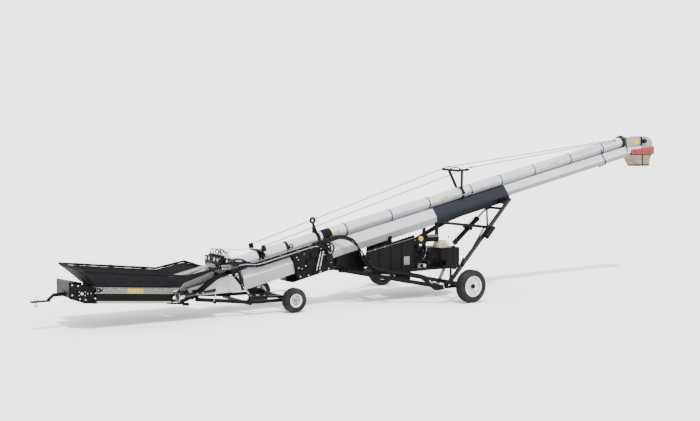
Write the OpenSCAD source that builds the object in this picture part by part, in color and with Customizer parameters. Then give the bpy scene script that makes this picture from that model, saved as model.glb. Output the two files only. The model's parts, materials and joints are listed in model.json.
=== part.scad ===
// Portable tube belt conveyor for grain and seed, standing in its transport position.
// +X points to the discharge end, +Z points up, Y = 0 is the centre plane.
// The origin is on the ground at the middle of the machine's length and width.
// Lengths are in millimetres. Most places are given from one of three helper frames:
//   at_axle():   X is measured from the main axle, Z from the ground
//   on_tube():   t runs up along the conveyor tube, n stands square to it
//   on_intake(): x runs along the intake bed, z stands square to it

/* [Tube] */
// Outside diameter of the conveyor tube
tube_d = 254; // [250:1:256]
// Wall thickness of the conveyor tube
tube_wall = 4; // [3:0.5:5]
// Slope of the tube, in degrees
slope = 12.5; // [12.3:0.1:12.7]
// Height of the tube's centre line over the main axle
tube_z = 2003; // [1998:1:2008]
// Lower end of the tube, measured along it from the axle
tube_low = -4850; // [-4860:5:-4840]
// Upper end of the tube, measured along it from the axle
tube_high = 6494; // [6485:1:6500]
// Distance of the main axle ahead of the middle of the machine
axle_x = 703; // [695:1:711]

/* [Main wheels] */
// Distance between the middles of the main tyres
main_track = 3300; // [3290:5:3310]
// Outside radius of a main tyre
main_r = 349; // [345:1:352]
// Width of a main tyre
main_w = 206; // [200:1:210]

/* [Mover wheels] */
// Place of the mover axle, measured from the main axle
mover_x = -3773; // [-3780:1:-3766]
// Distance between the middles of the mover tyres
mover_track = 1486; // [1480:2:1492]
// Outside radius of a mover tyre
mover_r = 246; // [244:1:248]
// Width of a mover tyre
mover_w = 200; // [190:1:204]

/* [Intake and hopper] */
// Slope of the intake bed, front end higher, in degrees
intake_slope = 4.8; // [4.6:0.1:5]
// Half the width of the intake bed
bed_half = 400; // [396:1:404]
// Half the width of the hopper's rim
rim_half = 750; // [740:5:760]
// Thickness of the hopper's sheet
hopper_t = 8; // [6:1:10]

/* [Undercarriage] */
// Place of the upper arms' sliding carriage along the tube
carriage_t = 2060; // [2050:5:2070]
// Distance of the carriage shaft below the tube's centre line
carriage_n = -400; // [-404:1:-398]

/* [Hidden] */

round_fn = 72;
tube_r = tube_d / 2;
bore_gap = 0.05;

// paint and material colours
white_paint = "whitesmoke";
grey_paint = "lightgray";
slate_paint = "lightslategray";
black_paint = [0.09, 0.09, 0.1];
steel = "silver";
rubber = [0.17, 0.17, 0.17];

// bands along the tube: plain ones and wide ones
thin_bands = [-2170, -976, 86, 1322, 2252, 3317, 4539, 5681];
tower_t = 1057;
low_clamp_t = -4254;
ring_clamp_t = -3641;
post_clamp_t = -2883;

// return guard: [top half width, shoulder half width, lower half width, top, shoulder, bottom]
guard_low = [118, 225, 212, -134, -305, -525];
guard_mid = [118, 225, 212, -134, -325, -475];
guard_top = [112, 200, 190, -134, -285, -378];
track_box = [118, 240, 200, -134, -395, -440];
sheet = 3;
track_start = 130;
track_end = 2290;
guard_end = 6520;

// S-drive: the two rollers that the return belt wraps
snub_at = [-3200, -255];
snub_r = 70;
drive_at = [-2900, -405];
drive_r = 100;
belt_t = 6;
belt_w = 300;
drive_low = -3640;
drive_high = -2740;

// head roller
head_at = [7080, -115];
head_r = 75;

// intake bed, in its own frame: heights of its layers
intake_x = -6300;
intake_z = 351;
bed_front = -1390;
bed_rear = 100;
bed_len = bed_rear - bed_front;
base_h = 40;
skirt_h = 175;
bed_h = 290;
tail_at = [-1650, 170];
tail_r = 72;

// undercarriage points in the axle frame
lower_pivot = [-2350, 350, 700];
lower_knee = [-580, 1432, 345];
axle_z = main_r;
arm_foot = [-520, 1520, 400];
carriage_x = carriage_t * cos(slope) - carriage_n * sin(slope);
carriage_z = tube_z + carriage_t * sin(slope) + carriage_n * cos(slope);
arm_top = [carriage_x, 480, carriage_z];
cyl_pivot = [1290, 0, 1410];
cyl_anchor = [1860, 0, 1865];

// mover points in the axle frame
mover_pivot = [-5700, 430, 375];
mover_corner = [-4665, 615, 262];
mover_cyl_top = [-4990, 460, 840];
mover_cyl_foot = [-4580, 460, 345];

// swivel jack
jack_mount = [-5715, -525, 510];

// engine platform
deck_z = 600;
deck_t = 40;

function mid(p, q, f) = p + (q - p) * f;
function flip(p) = [p[0], -p[1], p[2]];
function tube_point(t, y, n) =
    [t * cos(slope) - n * sin(slope), y, tube_z + t * sin(slope) + n * cos(slope)];

module at_axle() translate([axle_x, 0, 0]) children();

module on_tube(t = 0, n = 0) {
    at_axle() translate([0, 0, tube_z]) rotate([0, -slope, 0]) translate([t, 0, n]) children();
}

module on_intake(x = 0, z = 0) {
    at_axle() translate([intake_x, 0, intake_z]) rotate([0, intake_slope, 0]) translate([x, 0, z]) children();
}

module both_sides() {
    children();
    mirror([0, 1, 0]) children();
}

// round bar between two points
module rod(p, q, d, fn = 24) {
    v = q - p;
    translate(p) rotate([0, acos(v[2] / norm(v)), atan2(v[1], v[0])]) cylinder(h = norm(v), d = d, $fn = fn);
}

// rectangular bar between two points: depth in the upright plane, width across it
module bar(p, q, depth, width) {
    v = q - p;
    translate(p) rotate([0, acos(v[2] / norm(v)), atan2(v[1], v[0])])
        translate([-depth / 2, -width / 2, 0]) cube([depth, width, norm(v)]);
}

// cylinder along Y, centred on y
module axle_pin(x, y, z, r, w, fn = 48) {
    translate([x, y, z]) rotate([90, 0, 0]) cylinder(h = w, r = r, center = true, $fn = fn);
}

// hollow cylinder along Y
module axle_bush(x, y, z, r, bore, w, fn = 48) {
    translate([x, y, z]) rotate([90, 0, 0]) difference() {
        cylinder(h = w, r = r, center = true, $fn = fn);
        cylinder(h = w + 2, r = bore, center = true, $fn = fn);
    }
}

// ring around the tube
module hoop(outer_r, inner_r, w) {
    rotate([0, 90, 0]) difference() {
        cylinder(h = w, r = outer_r, center = true, $fn = round_fn);
        cylinder(h = w + 2, r = inner_r, center = true, $fn = round_fn);
    }
}

// plate cut to an outline in the upright plane, spread over w about y
module side_plate(points, y, w) {
    translate([0, y + w / 2, 0]) rotate([90, 0, 0]) linear_extrude(w) polygon(points);
}

// folded sheet that closes the belt's return side
module guard_outline(g, cut = 0) {
    polygon([
        [-g[0] + cut, g[3] - cut], [g[0] - cut, g[3] - cut],
        [g[1] - cut, g[4]], [g[2] - cut, g[5] + cut],
        [-g[2] + cut, g[5] + cut], [-g[1] + cut, g[4]]
    ]);
}

module guard(g, start, end) {
    on_tube(start) rotate([90, 0, 90]) linear_extrude(end - start) difference() {
        guard_outline(g);
        guard_outline(g, sheet);
    }
}

// four-cornered panel with a thickness along d
module panel(a, b, c, d, push) {
    polyhedron(
        points = [a, b, c, d, a + push, b + push, c + push, d + push],
        faces = [
            [0, 1, 2], [0, 2, 3], [4, 6, 5], [4, 7, 6],
            [0, 4, 5], [0, 5, 1], [1, 5, 6], [1, 6, 2],
            [2, 6, 7], [2, 7, 3], [3, 7, 4], [3, 4, 0]
        ]
    );
}

// hexagon bolt head standing along Y
module hex_head(x, y, z, d, h) {
    translate([x, y, z]) rotate([90, 0, 0]) cylinder(h = h, d = d, center = true, $fn = 6);
}

// ---------------------------------------------------------------- tube and head

// the tube is made of lengths that meet under the bands
tube_ends = concat([tube_low, ring_clamp_t], thin_bands, [tube_high]);

module conveyor_tube() {
    color(white_paint) on_tube() for (k = [0:len(tube_ends) - 2])
        translate([(tube_ends[k] + tube_ends[k + 1]) / 2, 0, 0])
            hoop(tube_r, tube_r - tube_wall, tube_ends[k + 1] - tube_ends[k] - 0.4);
}

module tube_bands() {
    color(rubber) for (t = thin_bands) on_tube(t) {
        hoop(tube_r + 5, tube_r, 24);
        translate([0, 0, -tube_r + 2]) both_sides() translate([-12, 92, 0]) cube([24, 22, 12]);
    }
}

module wide_clamp(t, w) {
    on_tube(t) hoop(tube_r + 6, tube_r, w);
}

module tube_clamps() {
    color(black_paint) {
        wide_clamp(low_clamp_t, 150);
        wide_clamp(ring_clamp_t, 60);
        wide_clamp(post_clamp_t, 80);
        wide_clamp(-2665, 230);
        // outrigger lugs that hold the lower ends of the truss cables
        on_tube(low_clamp_t) both_sides() {
            translate([-50, 95, 78]) rotate([35, 0, 0]) cube([100, 14, 60]);
            translate([-50, 100, 118]) cube([100, 180, 12]);
            translate([-50, 262, 130]) cube([100, 16, 118]);
        }
        // side bracket with a hose ring
        on_tube(ring_clamp_t) translate([60, -tube_r - 32, 30]) {
            rotate([90, 0, 0]) difference() {
                cylinder(h = 14, r = 48, center = true, $fn = 48);
                cylinder(h = 16, r = 28, center = true, $fn = 48);
            }
            translate([-90, -7, -26]) cube([62, 14, 52]);
            translate([-95, -7, -26]) cube([14, 40, 52]);
        }
        // upright post with a ring for the lift rope
        on_tube(post_clamp_t) {
            translate([0, 0, tube_r + 4]) cylinder(h = 210, r = 14, $fn = 32);
            translate([0, 0, tube_r + 255]) rotate([90, 0, 0]) difference() {
                cylinder(h = 26, r = 50, center = true, $fn = 48);
                cylinder(h = 28, r = 30, center = true, $fn = 48);
            }
            both_sides() rod([0, 88, 100], [0, 8, 270], 16);
        }
    }
}

// where the duct meets the hood, from the axle
hood_join = 6880;
duct_face = [[6366, 3262], [6372, 3508], [hood_join, 3528], [hood_join, 3232], [6640, 3222]];
duct_hollow = [
    [6340, 3270], [6340, 3502], [hood_join + 30, 3523], [hood_join + 30, 3240], [6644, 3230]
];

module head_duct() {
    color(grey_paint) {
        on_tube(tube_high + 8) {
            hoop(tube_r + 34, tube_r - tube_wall, 12);
            for (a = [45:90:315]) rotate([a, 0, 0]) translate([-90, -5, tube_r + 1]) difference() {
                cube([84, 10, 30]);
                rotate([0, -22, 0]) translate([-10, -1, 12]) cube([120, 12, 60]);
            }
        }
        difference() {
            at_axle() side_plate(duct_face, 0, 320);
            at_axle() side_plate(duct_hollow, 0, 312);
            // space for the roller's shaft
            on_tube() axle_pin(head_at[0], 0, head_at[1], 30, 400);
            // slot in the floor for the returning belt
            at_axle() translate([6390, -140, 3190]) cube([240, 280, 72]);
            // space kept free for the round flange
            on_tube(tube_high - 86) rotate([0, 90, 0]) cylinder(h = 100.5, r = tube_r + 45, $fn = round_fn);
        }
    }
}

hood_face = [
    [hood_join + 1, 3232], [hood_join + 1, 3532], [7000, 3544], [7130, 3536],
    [7250, 3450], [7296, 3350], [7296, 3204], [7200, 3190]
];
hood_hollow = [
    [hood_join - 20, 3236], [hood_join - 20, 3526], [7000, 3539], [7128, 3531],
    [7246, 3447], [7291, 3349], [7291, 3180], [7150, 3120], [6880, 3150]
];

module discharge_hood() {
    head = tube_point(head_at[0], 0, head_at[1]);
    color("tan") at_axle() difference() {
        union() {
            side_plate(hood_face, 0, 380);
            side_plate([[6500, 3204], [7296, 3204], [7296, 3220], [6500, 3220]], 0, 400);
            both_sides() axle_pin(head[0], 206, head[2], 62, 34);
        }
        side_plate(hood_hollow, 0, 372);
        side_plate([[6530, 3190], [7276, 3190], [7276, 3230], [6530, 3230]], 0, 360);
        axle_pin(head[0], 0, head[2], 22 + bore_gap, 480);
    }
}

module spout_collar() {
    color("firebrick") at_axle() difference() {
        translate([6470, -226, 3090]) cube([850, 452, 112]);
        translate([6480, -216, 3080]) cube([830, 432, 140]);
    }
}

module discharge_spout() {
    top = [[6484, -212], [7306, -212], [7306, 212], [6484, 212]];
    low = [[6742, -150], [7244, -150], [7244, 150], [6742, 150]];
    wall = 6;
    color("burlywood") at_axle() {
        for (k = [0:3]) {
            a = top[k];
            b = top[(k + 1) % 4];
            c = low[(k + 1) % 4];
            d = low[k];
            inward = [-sign(b[1] - a[1]), sign(b[0] - a[0]), 0] * wall;
            panel(
                [a[0], a[1], 3088], [b[0], b[1], 3088], [c[0], c[1], 2780], [d[0], d[1], 2780], inward
            );
        }
    }
}

module roller(at, r, w, shaft_r, shaft_w) {
    translate([at[0], 0, at[1]]) {
        axle_pin(0, 0, 0, r, w, round_fn);
        axle_pin(0, 0, 0, shaft_r, shaft_w);
    }
}

module head_roller() {
    color(steel) on_tube() roller(head_at, head_r, 300, 22, 440);
}

// ---------------------------------------------------------------- belt

// straight run of belt between two points of the upright plane
module run_2d(p, q, w) {
    v = (q - p) / norm(q - p);
    s = [-v[1], v[0]] * w / 2;
    polygon([p + s, q + s, q - s, p - s]);
}

// run of belt wrapped round a roller, from angle a to angle b
module wrap_2d(at, r, a, b) {
    far = 2 * r;
    steps = 12;
    translate(at) intersection() {
        difference() {
            circle(r = r + belt_t, $fn = 96);
            circle(r = r, $fn = 96);
        }
        polygon([[0, 0], for (k = [0:steps]) let (c = a + (b - a) * k / steps) far * [cos(c), sin(c)]]);
    }
}

module belt_sheet(w) {
    rotate([90, 0, 0]) linear_extrude(w, center = true) children();
}

module belt_carry_run() {
    trough_out = tube_r - tube_wall - 1;
    half_span = 65;
    head_on = 98.3;
    color(rubber) {
        // troughed part in the tube
        on_tube(tube_low) rotate([90, 0, 90]) linear_extrude(tube_high - tube_low) intersection() {
            difference() {
                circle(r = trough_out, $fn = 96);
                circle(r = trough_out - belt_t, $fn = 96);
            }
            polygon([
                [0, 0], 300 * [-sin(half_span), -cos(half_span)],
                [0, -300], 300 * [sin(half_span), -cos(half_span)]
            ]);
        }
        // flat part over the head roller
        on_tube() belt_sheet(200) {
            run_2d(
                [tube_high + 16, -trough_out + 3],
                head_at + (head_r + 3.5) * [cos(head_on), sin(head_on)], belt_t
            );
            wrap_2d(head_at, head_r + 0.5, -90, head_on);
        }
        // flat part in the neck and over the intake bed
        on_tube() belt_sheet(100) run_2d([-6280, -50], [tube_low - 1, -trough_out + 3], belt_t);
        on_intake() belt_sheet(380) {
            run_2d([tail_at[0], tail_at[1] + tail_r + 3.5], [bed_rear, tail_at[1] + tail_r + 3.5], belt_t);
            wrap_2d(tail_at, tail_r + 0.5, 90, 270);
        }
    }
}

module belt_return_run() {
    span = drive_at - snub_at;
    lean = atan2(span[1], span[0]);
    skew = acos((drive_r + snub_r + belt_t + 1) / norm(span));
    snub_off = lean - skew;
    drive_on = lean + 180 - skew;
    snub_track = snub_r + 0.5 + belt_t / 2;
    drive_track = drive_r + 0.5 + belt_t / 2;
    color(rubber) {
        on_tube() belt_sheet(belt_w - 40) {
            run_2d([snub_at[0], snub_at[1] + snub_track], [head_at[0], head_at[1] - head_r - 3.5], belt_t);
            wrap_2d(snub_at, snub_r + 0.5, 90, 360 + snub_off);
            run_2d(
                snub_at + snub_track * [cos(snub_off), sin(snub_off)],
                drive_at + drive_track * [cos(drive_on), sin(drive_on)], belt_t
            );
            wrap_2d(drive_at, drive_r + 0.5, -90, drive_on);
            run_2d([tube_low, drive_at[1] - drive_track], [drive_at[0], drive_at[1] - drive_track], belt_t);
            run_2d([-6250, -175], [tube_low, drive_at[1] - drive_track], belt_t);
        }
        on_intake() belt_sheet(belt_w) {
            run_2d([tail_at[0], tail_at[1] - tail_r - 3.5], [20, tail_at[1] - tail_r - 3.5], belt_t);
        }
    }
}

// ---------------------------------------------------------------- return guards and S-drive

neck_side = [[-5980, -150], [-4890, -150], [-4890, -525], [-5980, -300]];

module return_guard_lower() {
    color(white_paint) {
        guard(guard_low, tube_low + 40, drive_low - 6);
        // shallower piece that closes the belt under the neck
        on_tube() both_sides() side_plate(neck_side, 206, sheet);
        on_tube() side_plate([[-5980, -300], [-4890, -525], [-4890, -528], [-5980, -303]], 0, 415);
    }
}

module return_guard_middle() {
    color(white_paint) guard(guard_mid, drive_high + 6, track_start - 1);
}

module return_guard_upper() {
    color(white_paint) guard(guard_top, track_end + 1, guard_end);
}

module lift_track() {
    color(slate_paint) {
        guard(track_box, track_start, track_end);
        // channel rails that guide the carriage rollers
        on_tube(track_start) both_sides() translate([0, track_box[1] - 2, 0]) {
            translate([0, 0, -464]) cube([track_end - track_start, 8, 124]);
            translate([0, 0, -464]) cube([track_end - track_start, 66, 8]);
            translate([0, 0, -348]) cube([track_end - track_start, 66, 8]);
        }
        // lug plates for the lift cylinder's rod end
        at_axle() both_sides() translate([cyl_anchor[0], 38, cyl_anchor[2]]) {
            axle_pin(0, 0, 0, 48, 14);
            translate([-60, -7, -10]) cube([120, 14, 96]);
        }
        on_tube(1700, -452) translate([0, -240, 0]) cube([200, 480, 12]);
    }
}

module s_drive_frame() {
    face = [
        [drive_low, -140], [drive_high, -140], [drive_high, -560], [drive_high - 130, -664],
        [drive_low + 40, -664], [drive_low, -600]
    ];
    color(black_paint) on_tube() {
        difference() {
            union() {
                both_sides() side_plate(face, 300, 10);
                side_plate([[-3790, -670], [-2860, -670], [-2860, -664], [-3700, -664]], 0, 610);
                // inward flanges at both ends
                both_sides() translate([drive_low, 229, -600]) cube([8, 66, 450]);
                both_sides() translate([drive_high - 8, 229, -560]) cube([8, 66, 410]);
            }
            axle_pin(drive_at[0], 0, drive_at[1], 24 + bore_gap, 700);
            axle_pin(snub_at[0], 0, snub_at[1], 20 + bore_gap, 700);
        }
        // cross tubes under the conveyor tube
        for (t = [drive_low + 60, drive_high - 60]) axle_pin(t, 0, -152, 10, 590);
    }
}

module drive_roller() {
    color(rubber) on_tube() roller(drive_at, drive_r, 440, 24, 640);
}

module snub_roller() {
    color(steel) on_tube() roller(snub_at, snub_r, 440, 20, 620);
}

module drive_motor() {
    color("dimgray") on_tube() {
        difference() {
            axle_pin(drive_at[0], -332, drive_at[1], 105, 50, 64);
            axle_pin(drive_at[0], -300, drive_at[1], 26, 60);
        }
        axle_pin(drive_at[0], -392, drive_at[1], 62, 70, 48);
        translate([drive_at[0] - 60, -440, drive_at[1] - 45]) cube([120, 14, 90]);
        // belt tightener
        both_sides() {
            rod([-3120, -319, -300], [-3260, -319, -610], 26);
            rod([-3060, -319, -300], [-3195, -319, -610], 18);
            translate([-3150, -329, -300]) cube([110, 24, 30]);
            translate([-3300, -329, -640]) cube([120, 24, 30]);
        }
    }
}

// ---------------------------------------------------------------- intake, hopper and hitch

module transition_neck() {
    color(grey_paint) on_tube() {
        difference() {
            translate([-6300, -tube_r, -tube_r]) cube([6300 + tube_low - 1, 2 * tube_r, 2 * tube_r]);
            translate([-6310, -tube_r + 4, -tube_r + 4])
                cube([6330 + tube_low, 2 * tube_r - 8, 2 * tube_r - 8]);
            // mouth cut level with the bed
            rotate([0, slope + intake_slope, 0]) translate([-6600, -200, -1800]) cube([560, 400, 3000]);
        }
        translate([-5330, 0, 0]) difference() {
            translate([-30, -tube_r - 14, -tube_r - 6]) cube([60, 2 * tube_r + 28, 2 * tube_r + 20]);
            translate([-31, -tube_r, -tube_r]) cube([62, 2 * tube_r, 2 * tube_r]);
        }
    }
}

module neck_beams() {
    color(black_paint) at_axle() difference() {
        union() {
            both_sides() {
                bar([-6060, 330, 330], mover_pivot + [-60, -100, 60], 70, 44);
                bar(mover_pivot + [-100, -98, 30], [-5160, 240, 790], 84, 54);
                bar([-5190, 240, 768], [-4560, 240, 918], 66, 40);
                // ears that carry the mover frame
                axle_pin(mover_pivot[0], 384, mover_pivot[2], 45, 14);
                translate([mover_pivot[0] - 34, 340, mover_pivot[2] + 24]) cube([68, 49, 50]);
                // outriggers that carry the mover cylinders
                bar([-4990, 236, 850], [-4990, 420, 850], 56, 56);
                translate([-5024, 410, 804]) cube([68, 14, 82]);
                axle_pin(mover_cyl_top[0], 450, mover_cyl_top[2], 14, 60);
                translate([-4640, 150, 892]) cube([76, 96, 24]);
                // bushes that carry the hopper hoop
                axle_pin(hoop_hinge[0], 176, hoop_hinge[1], 17, 14);
                bar([-5334, 176, 932], [-5208, 176, 838], 24, 13);
                translate([-5232, 169.6, 776]) cube([32, 60, 76]);
            }
            // socket that carries the jack
            translate([jack_mount[0] - 52, -362, jack_mount[2] - 76]) cube([104, 46, 120]);
        }
        both_sides() axle_pin(mover_pivot[0], 384, mover_pivot[2], 20 + bore_gap, 60);
        both_sides() axle_pin(hoop_hinge[0], 176, hoop_hinge[1], 9 + bore_gap, 60);
        axle_pin(jack_mount[0], -350, jack_mount[2], 30 + bore_gap, 90);
    }
}

module intake_channel() {
    color(grey_paint) on_intake() {
        both_sides() translate([bed_front, bed_half - 12, skirt_h]) cube([bed_len, 12, bed_h - skirt_h]);
        translate([bed_front, -bed_half + 12, skirt_h]) cube([bed_len - 130, 2 * bed_half - 24, 4]);
        both_sides() translate([bed_front, bed_half - 40, bed_h - 6]) cube([bed_len, 28, 6]);
    }
}

module intake_skirt() {
    color(black_paint) on_intake() {
        both_sides() translate([bed_front, bed_half - 14, base_h]) cube([bed_len, 6, skirt_h - base_h]);
        both_sides() translate([bed_front - 20, bed_half - 30, 0]) cube([bed_len + 20, 26, base_h]);
        for (x = [bed_front + 60:450:bed_rear - 60]) translate([x, -bed_half + 30, 4])
            cube([60, 2 * bed_half - 60, 30]);
        // feet
        both_sides() translate([bed_front - 80, bed_half - 48, -8]) cube([130, 48, 8]);
        both_sides() translate([bed_rear + 260, 250, -60]) cube([120, 60, 30]);
        both_sides() translate([bed_rear - 60, 250, -35]) cube([440, 30, 30]);
    }
}

tail_face = [[-8150, 866], [-7697, 752], [-7697, 452], [-7850, 472], [-8150, 586]];
tail_hollow = [[-8142, 856], [-7680, 742], [-7680, 462], [-7852, 482], [-8142, 592]];

module tail_box() {
    color(black_paint) {
        difference() {
            at_axle() side_plate(tail_face, 0, 700);
            at_axle() side_plate(tail_hollow, 0, 680);
            at_axle() side_plate([[-7990, 880], [-7680, 900], [-7680, 600], [-7900, 640]], 0, 660);
            on_intake() axle_pin(tail_at[0], 0, tail_at[1], 20 + bore_gap, 800);
        }
        // belt tension screws
        on_intake() both_sides() {
            rod([tail_at[0] + 40, 362, tail_at[1]], [tail_at[0] + 330, 362, tail_at[1] + 10], 20);
            translate([tail_at[0] - 40, 350, tail_at[1] - 45]) difference() {
                cube([90, 14, 90]);
                translate([40, 0, 45]) axle_pin(0, 0, 0, 20 + bore_gap, 60);
            }
        }
    }
}

module tail_roller() {
    color(steel) on_intake() roller(tail_at, tail_r, 420, 20, 744);
}

// hopper corners on one side, from the front to the neck: rim, foot of the wall, lip over the bed
rim_pts = [[-7985, rim_half, 1072], [-6060, rim_half, 853], [-5451, rim_half, 958], [-5343, 200, 900]];
foot_pts = [[-7690, 405, 765], [-6050, 405, 624], [-5850, 152, 700], [-5360, 152, 850]];
lip_pts = [[-7600, 200, 736], [-6070, 200, 604], [-5850, 152, 675], [-5360, 152, 825]];

// the same corners round the whole hopper, from the left end to the right end
function around(pts) = concat([for (k = [3:-1:0]) pts[k]], [for (k = [0:3]) flip(pts[k])]);

module hopper_fabric() {
    levels = [around(rim_pts), around(foot_pts), around(lip_pts)];
    stations = 8;
    rows = 3;
    inward = [
        for (k = [0:stations - 1])
            [k == 3 || k == 4 ? hopper_t : 0, (k < 4 ? -1 : 1) * hopper_t, hopper_t]
    ];
    outer = [for (row = levels) each row];
    inner = [for (row = levels) for (k = [0:stations - 1]) row[k] + inward[k]];
    skip = stations * rows;
    skin = [
        for (r = [0:rows - 2], k = [0:stations - 2]) let (i = r * stations + k)
            each [[i, i + 1, i + 1 + stations], [i, i + 1 + stations, i + stations]]
    ];
    lining = [for (f = skin) [f[0] + skip, f[2] + skip, f[1] + skip]];
    top_edge = [
        for (k = [0:stations - 2]) each [[k, k + skip, k + 1 + skip], [k, k + 1 + skip, k + 1]]
    ];
    low_edge = [
        for (k = [0:stations - 2]) let (i = (rows - 1) * stations + k)
            each [[i, i + 1, i + 1 + skip], [i, i + 1 + skip, i + skip]]
    ];
    left_end = [
        for (r = [0:rows - 2]) let (i = r * stations)
            each [[i, i + stations, i + stations + skip], [i, i + stations + skip, i + skip]]
    ];
    right_end = [
        for (r = [0:rows - 2]) let (i = r * stations + stations - 1)
            each [[i, i + stations + skip, i + stations], [i, i + skip, i + stations + skip]]
    ];
    color([0.13, 0.14, 0.16]) at_axle() polyhedron(
        points = concat(outer, inner),
        faces = concat(skin, lining, top_edge, low_edge, left_end, right_end)
    );
}

// place of the hinge at the rear ends of the hoop
hoop_hinge = [-5343, 940];

module hopper_hoop() {
    above = [0, 12, 28];
    rail = [for (p = rim_pts) p + above];
    color(black_paint) at_axle() {
        both_sides() {
            for (k = [0:2]) let (v = 9 * unit(rail[k + 1] - rail[k]))
                bar(rail[k] - v, rail[k + 1] + v, 24, 24 + k);
            axle_pin(hoop_hinge[0], 187, hoop_hinge[1], 9, 54);
        }
        bar(rail[0] + [0, 9, 0], flip(rail[0]) - [0, 9, 0], 24.6, 24.6);
    }
}

hitch_hole = [-8640, 524];

module hitch_tongue() {
    color(black_paint) at_axle() {
        bar([-8165, 0, 625], [-8330, 0, 622], 60, 60);
        bar([-8322, 0, 628], [-8430, 0, 535], 44, 60);
        translate([-8150 - 14, -90, 596]) cube([14, 180, 90]);
        difference() {
            translate([-8737, -60, 512]) cube([337, 120, 24]);
            translate([hitch_hole[0], 0, 500]) cylinder(h = 50, r = 16.5, $fn = 48);
            translate([-8470, 38, 500]) cylinder(h = 50, r = 8, $fn = 32);
        }
    }
}

module hitch_pin() {
    color(steel) at_axle() translate([hitch_hole[0], 0, 0]) {
        translate([0, 0, 432]) cylinder(h = 76, r = 16, $fn = 48);
        translate([0, 0, 507]) cylinder(h = 29.2, r = 15, $fn = 48);
        translate([0, 0, 536.2]) cylinder(h = 16, r = 26, $fn = 48);
        translate([0, 0, 580]) rotate([90, 0, 0]) rotate_extrude($fn = 48)
            translate([32, 0]) circle(r = 5, $fn = 16);
    }
}

// ---------------------------------------------------------------- truss

tower_tip = [1030, 410, 2795];

module truss_tower() {
    color(black_paint) {
        wide_clamp(tower_t, 70);
        on_tube(tower_t) both_sides() {
            translate([-35, tube_r, -20]) cube([70, 26, 40]);
            bar([0, 92, 118], [-20, 232, 520], 50, 40);
            bar([-20, -5, 524], [-20, 470, 548], 44, 50);
        }
        // crescent plate that spreads the cables
        on_tube(tower_t) translate([-20, 0, 190]) rotate([90, 0, 90]) linear_extrude(10) difference() {
            intersection() {
                circle(r = 420, $fn = 96);
                translate([-300, 350]) square([600, 200]);
            }
            circle(r = 396, $fn = 96);
        }
    }
}

module truss_cables() {
    low = tube_point(low_clamp_t, 270, 222);
    high = tube_point(6130, 100, 100);
    color(steel) at_axle() both_sides() {
        rod(low, tower_tip + [-36, 0, 26], 16, 16);
        rod(tower_tip + [36, 0, 26], high, 16, 16);
        translate(tower_tip + [-36, 0, 26]) rotate([0, 90, 0]) cylinder(h = 72, r = 14, $fn = 24);
    }
    color(steel) on_tube(6130) both_sides() translate([-30, 92, 88]) cube([60, 16, 30]);
}

// ---------------------------------------------------------------- power unit

front_hanger = [[-2460, 975], [-1900, 1105], [-1740, 641], [-2300, 641], [-2400, 650]];
end_plate = [[-1960, 1000], [-1880, 1010], [-1740, 641], [-1800, 641]];
near_shield = [[-1930, 1118], [-720, 1388], [-700, 641], [-1700, 641], [-1900, 860]];
far_shield = [
    [-1700, 641], [-1960, 730], [-1960, 850], [-1150, 880], [-1100, 1300], [-500, 1436], [-470, 641]
];

module engine_platform() {
    color(black_paint) at_axle() {
        // deck, open over the belt drive, with a lip along each side
        difference() {
            translate([-1750, -600, deck_z]) cube([2350, 1200, deck_t]);
            translate([-1751, -594, deck_z - 1]) cube([2352, 1188, deck_t - 5]);
            translate([-1500, -420, deck_z - 5]) cube([420, 840, deck_t + 10]);
        }
        // plates between the guard and the deck, with the bar across their front ends
        both_sides() {
            side_plate(front_hanger, 231, 12);
            side_plate(end_plate, 590, 10);
        }
        translate([-1960, -596, 985]) cube([60, 1192, 20]);
        both_sides() {
            side_plate([[-1130, 1340], [-1040, 1360], [-1020, 641], [-1150, 641]], 231, 12);
            side_plate([[140, 1590], [230, 1612], [250, 641], [120, 641]], 231, 12);
        }
        // side shields that close off the drive lines
        side_plate(near_shield, -610, 6);
        side_plate(far_shield, 610, 6);
        // pivot shaft of the lower arms
        axle_pin(lower_pivot[0], 0, lower_pivot[2], 25, 800);
    }
}

engine_at = [-600, -420, 940];

module engine_block() {
    color("darkslategray") at_axle() translate(engine_at) {
        // crankcase
        translate([-190, 90, -299]) cube([380, 330, 260]);
        // blower housing on the near end
        rotate([90, 0, 0]) cylinder(h = 150, r = 228, center = true, $fn = 64);
        translate([-190, 75, -100]) cube([380, 120, 260]);
        // two finned cylinders
        for (s = [-1, 1]) translate([s * 150, 250, 40]) rotate([0, s * 45, 0]) {
            for (k = [0:7]) translate([-85, -85, k * 22]) cube([170, 170, 12]);
            cylinder(h = 190, r = 60, $fn = 48);
        }
        // hydraulic pump on the far end
        translate([0, 500, -130]) rotate([90, 0, 0]) cylinder(h = 160, r = 70, center = true, $fn = 48);
    }
}

module engine_muffler() {
    color([0.2, 0.2, 0.2]) at_axle() {
        translate([-260, -400, 1270]) rotate([0, 90, 0]) cylinder(h = 330, r = 72, $fn = 48);
        rod([-330, -330, 1060], [-200, -380, 1230], 40);
    }
}

fuel_cap_at = [-520, -520, 1262];

module fuel_tank() {
    color([0.2, 0.2, 0.2]) at_axle() difference() {
        union() {
            translate([-780, -600, 1176]) cube([400, 190, 86]);
            translate([-640, -560, 1100]) cube([60, 40, 80]);
        }
        translate([fuel_cap_at[0], fuel_cap_at[1], 1230]) cylinder(h = 60, r = 24.05, $fn = 48);
    }
}

module fuel_cap() {
    color("gold") at_axle() translate([fuel_cap_at[0], fuel_cap_at[1], 0]) {
        translate([0, 0, 1236]) cylinder(h = 26.2, r = 24, $fn = 48);
        translate([0, 0, 1262.2]) cylinder(h = 30, r = 42, $fn = 12);
    }
}

module air_box() {
    color("ivory") at_axle() difference() {
        hull() {
            translate([60, -480, 1052]) cube([270, 230, 40]);
            translate([90, -455, 1150]) cube([200, 180, 60]);
        }
        for (z = [1100, 1125]) translate([120, -490, z]) cube([140, 60, 10]);
    }
}

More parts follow.
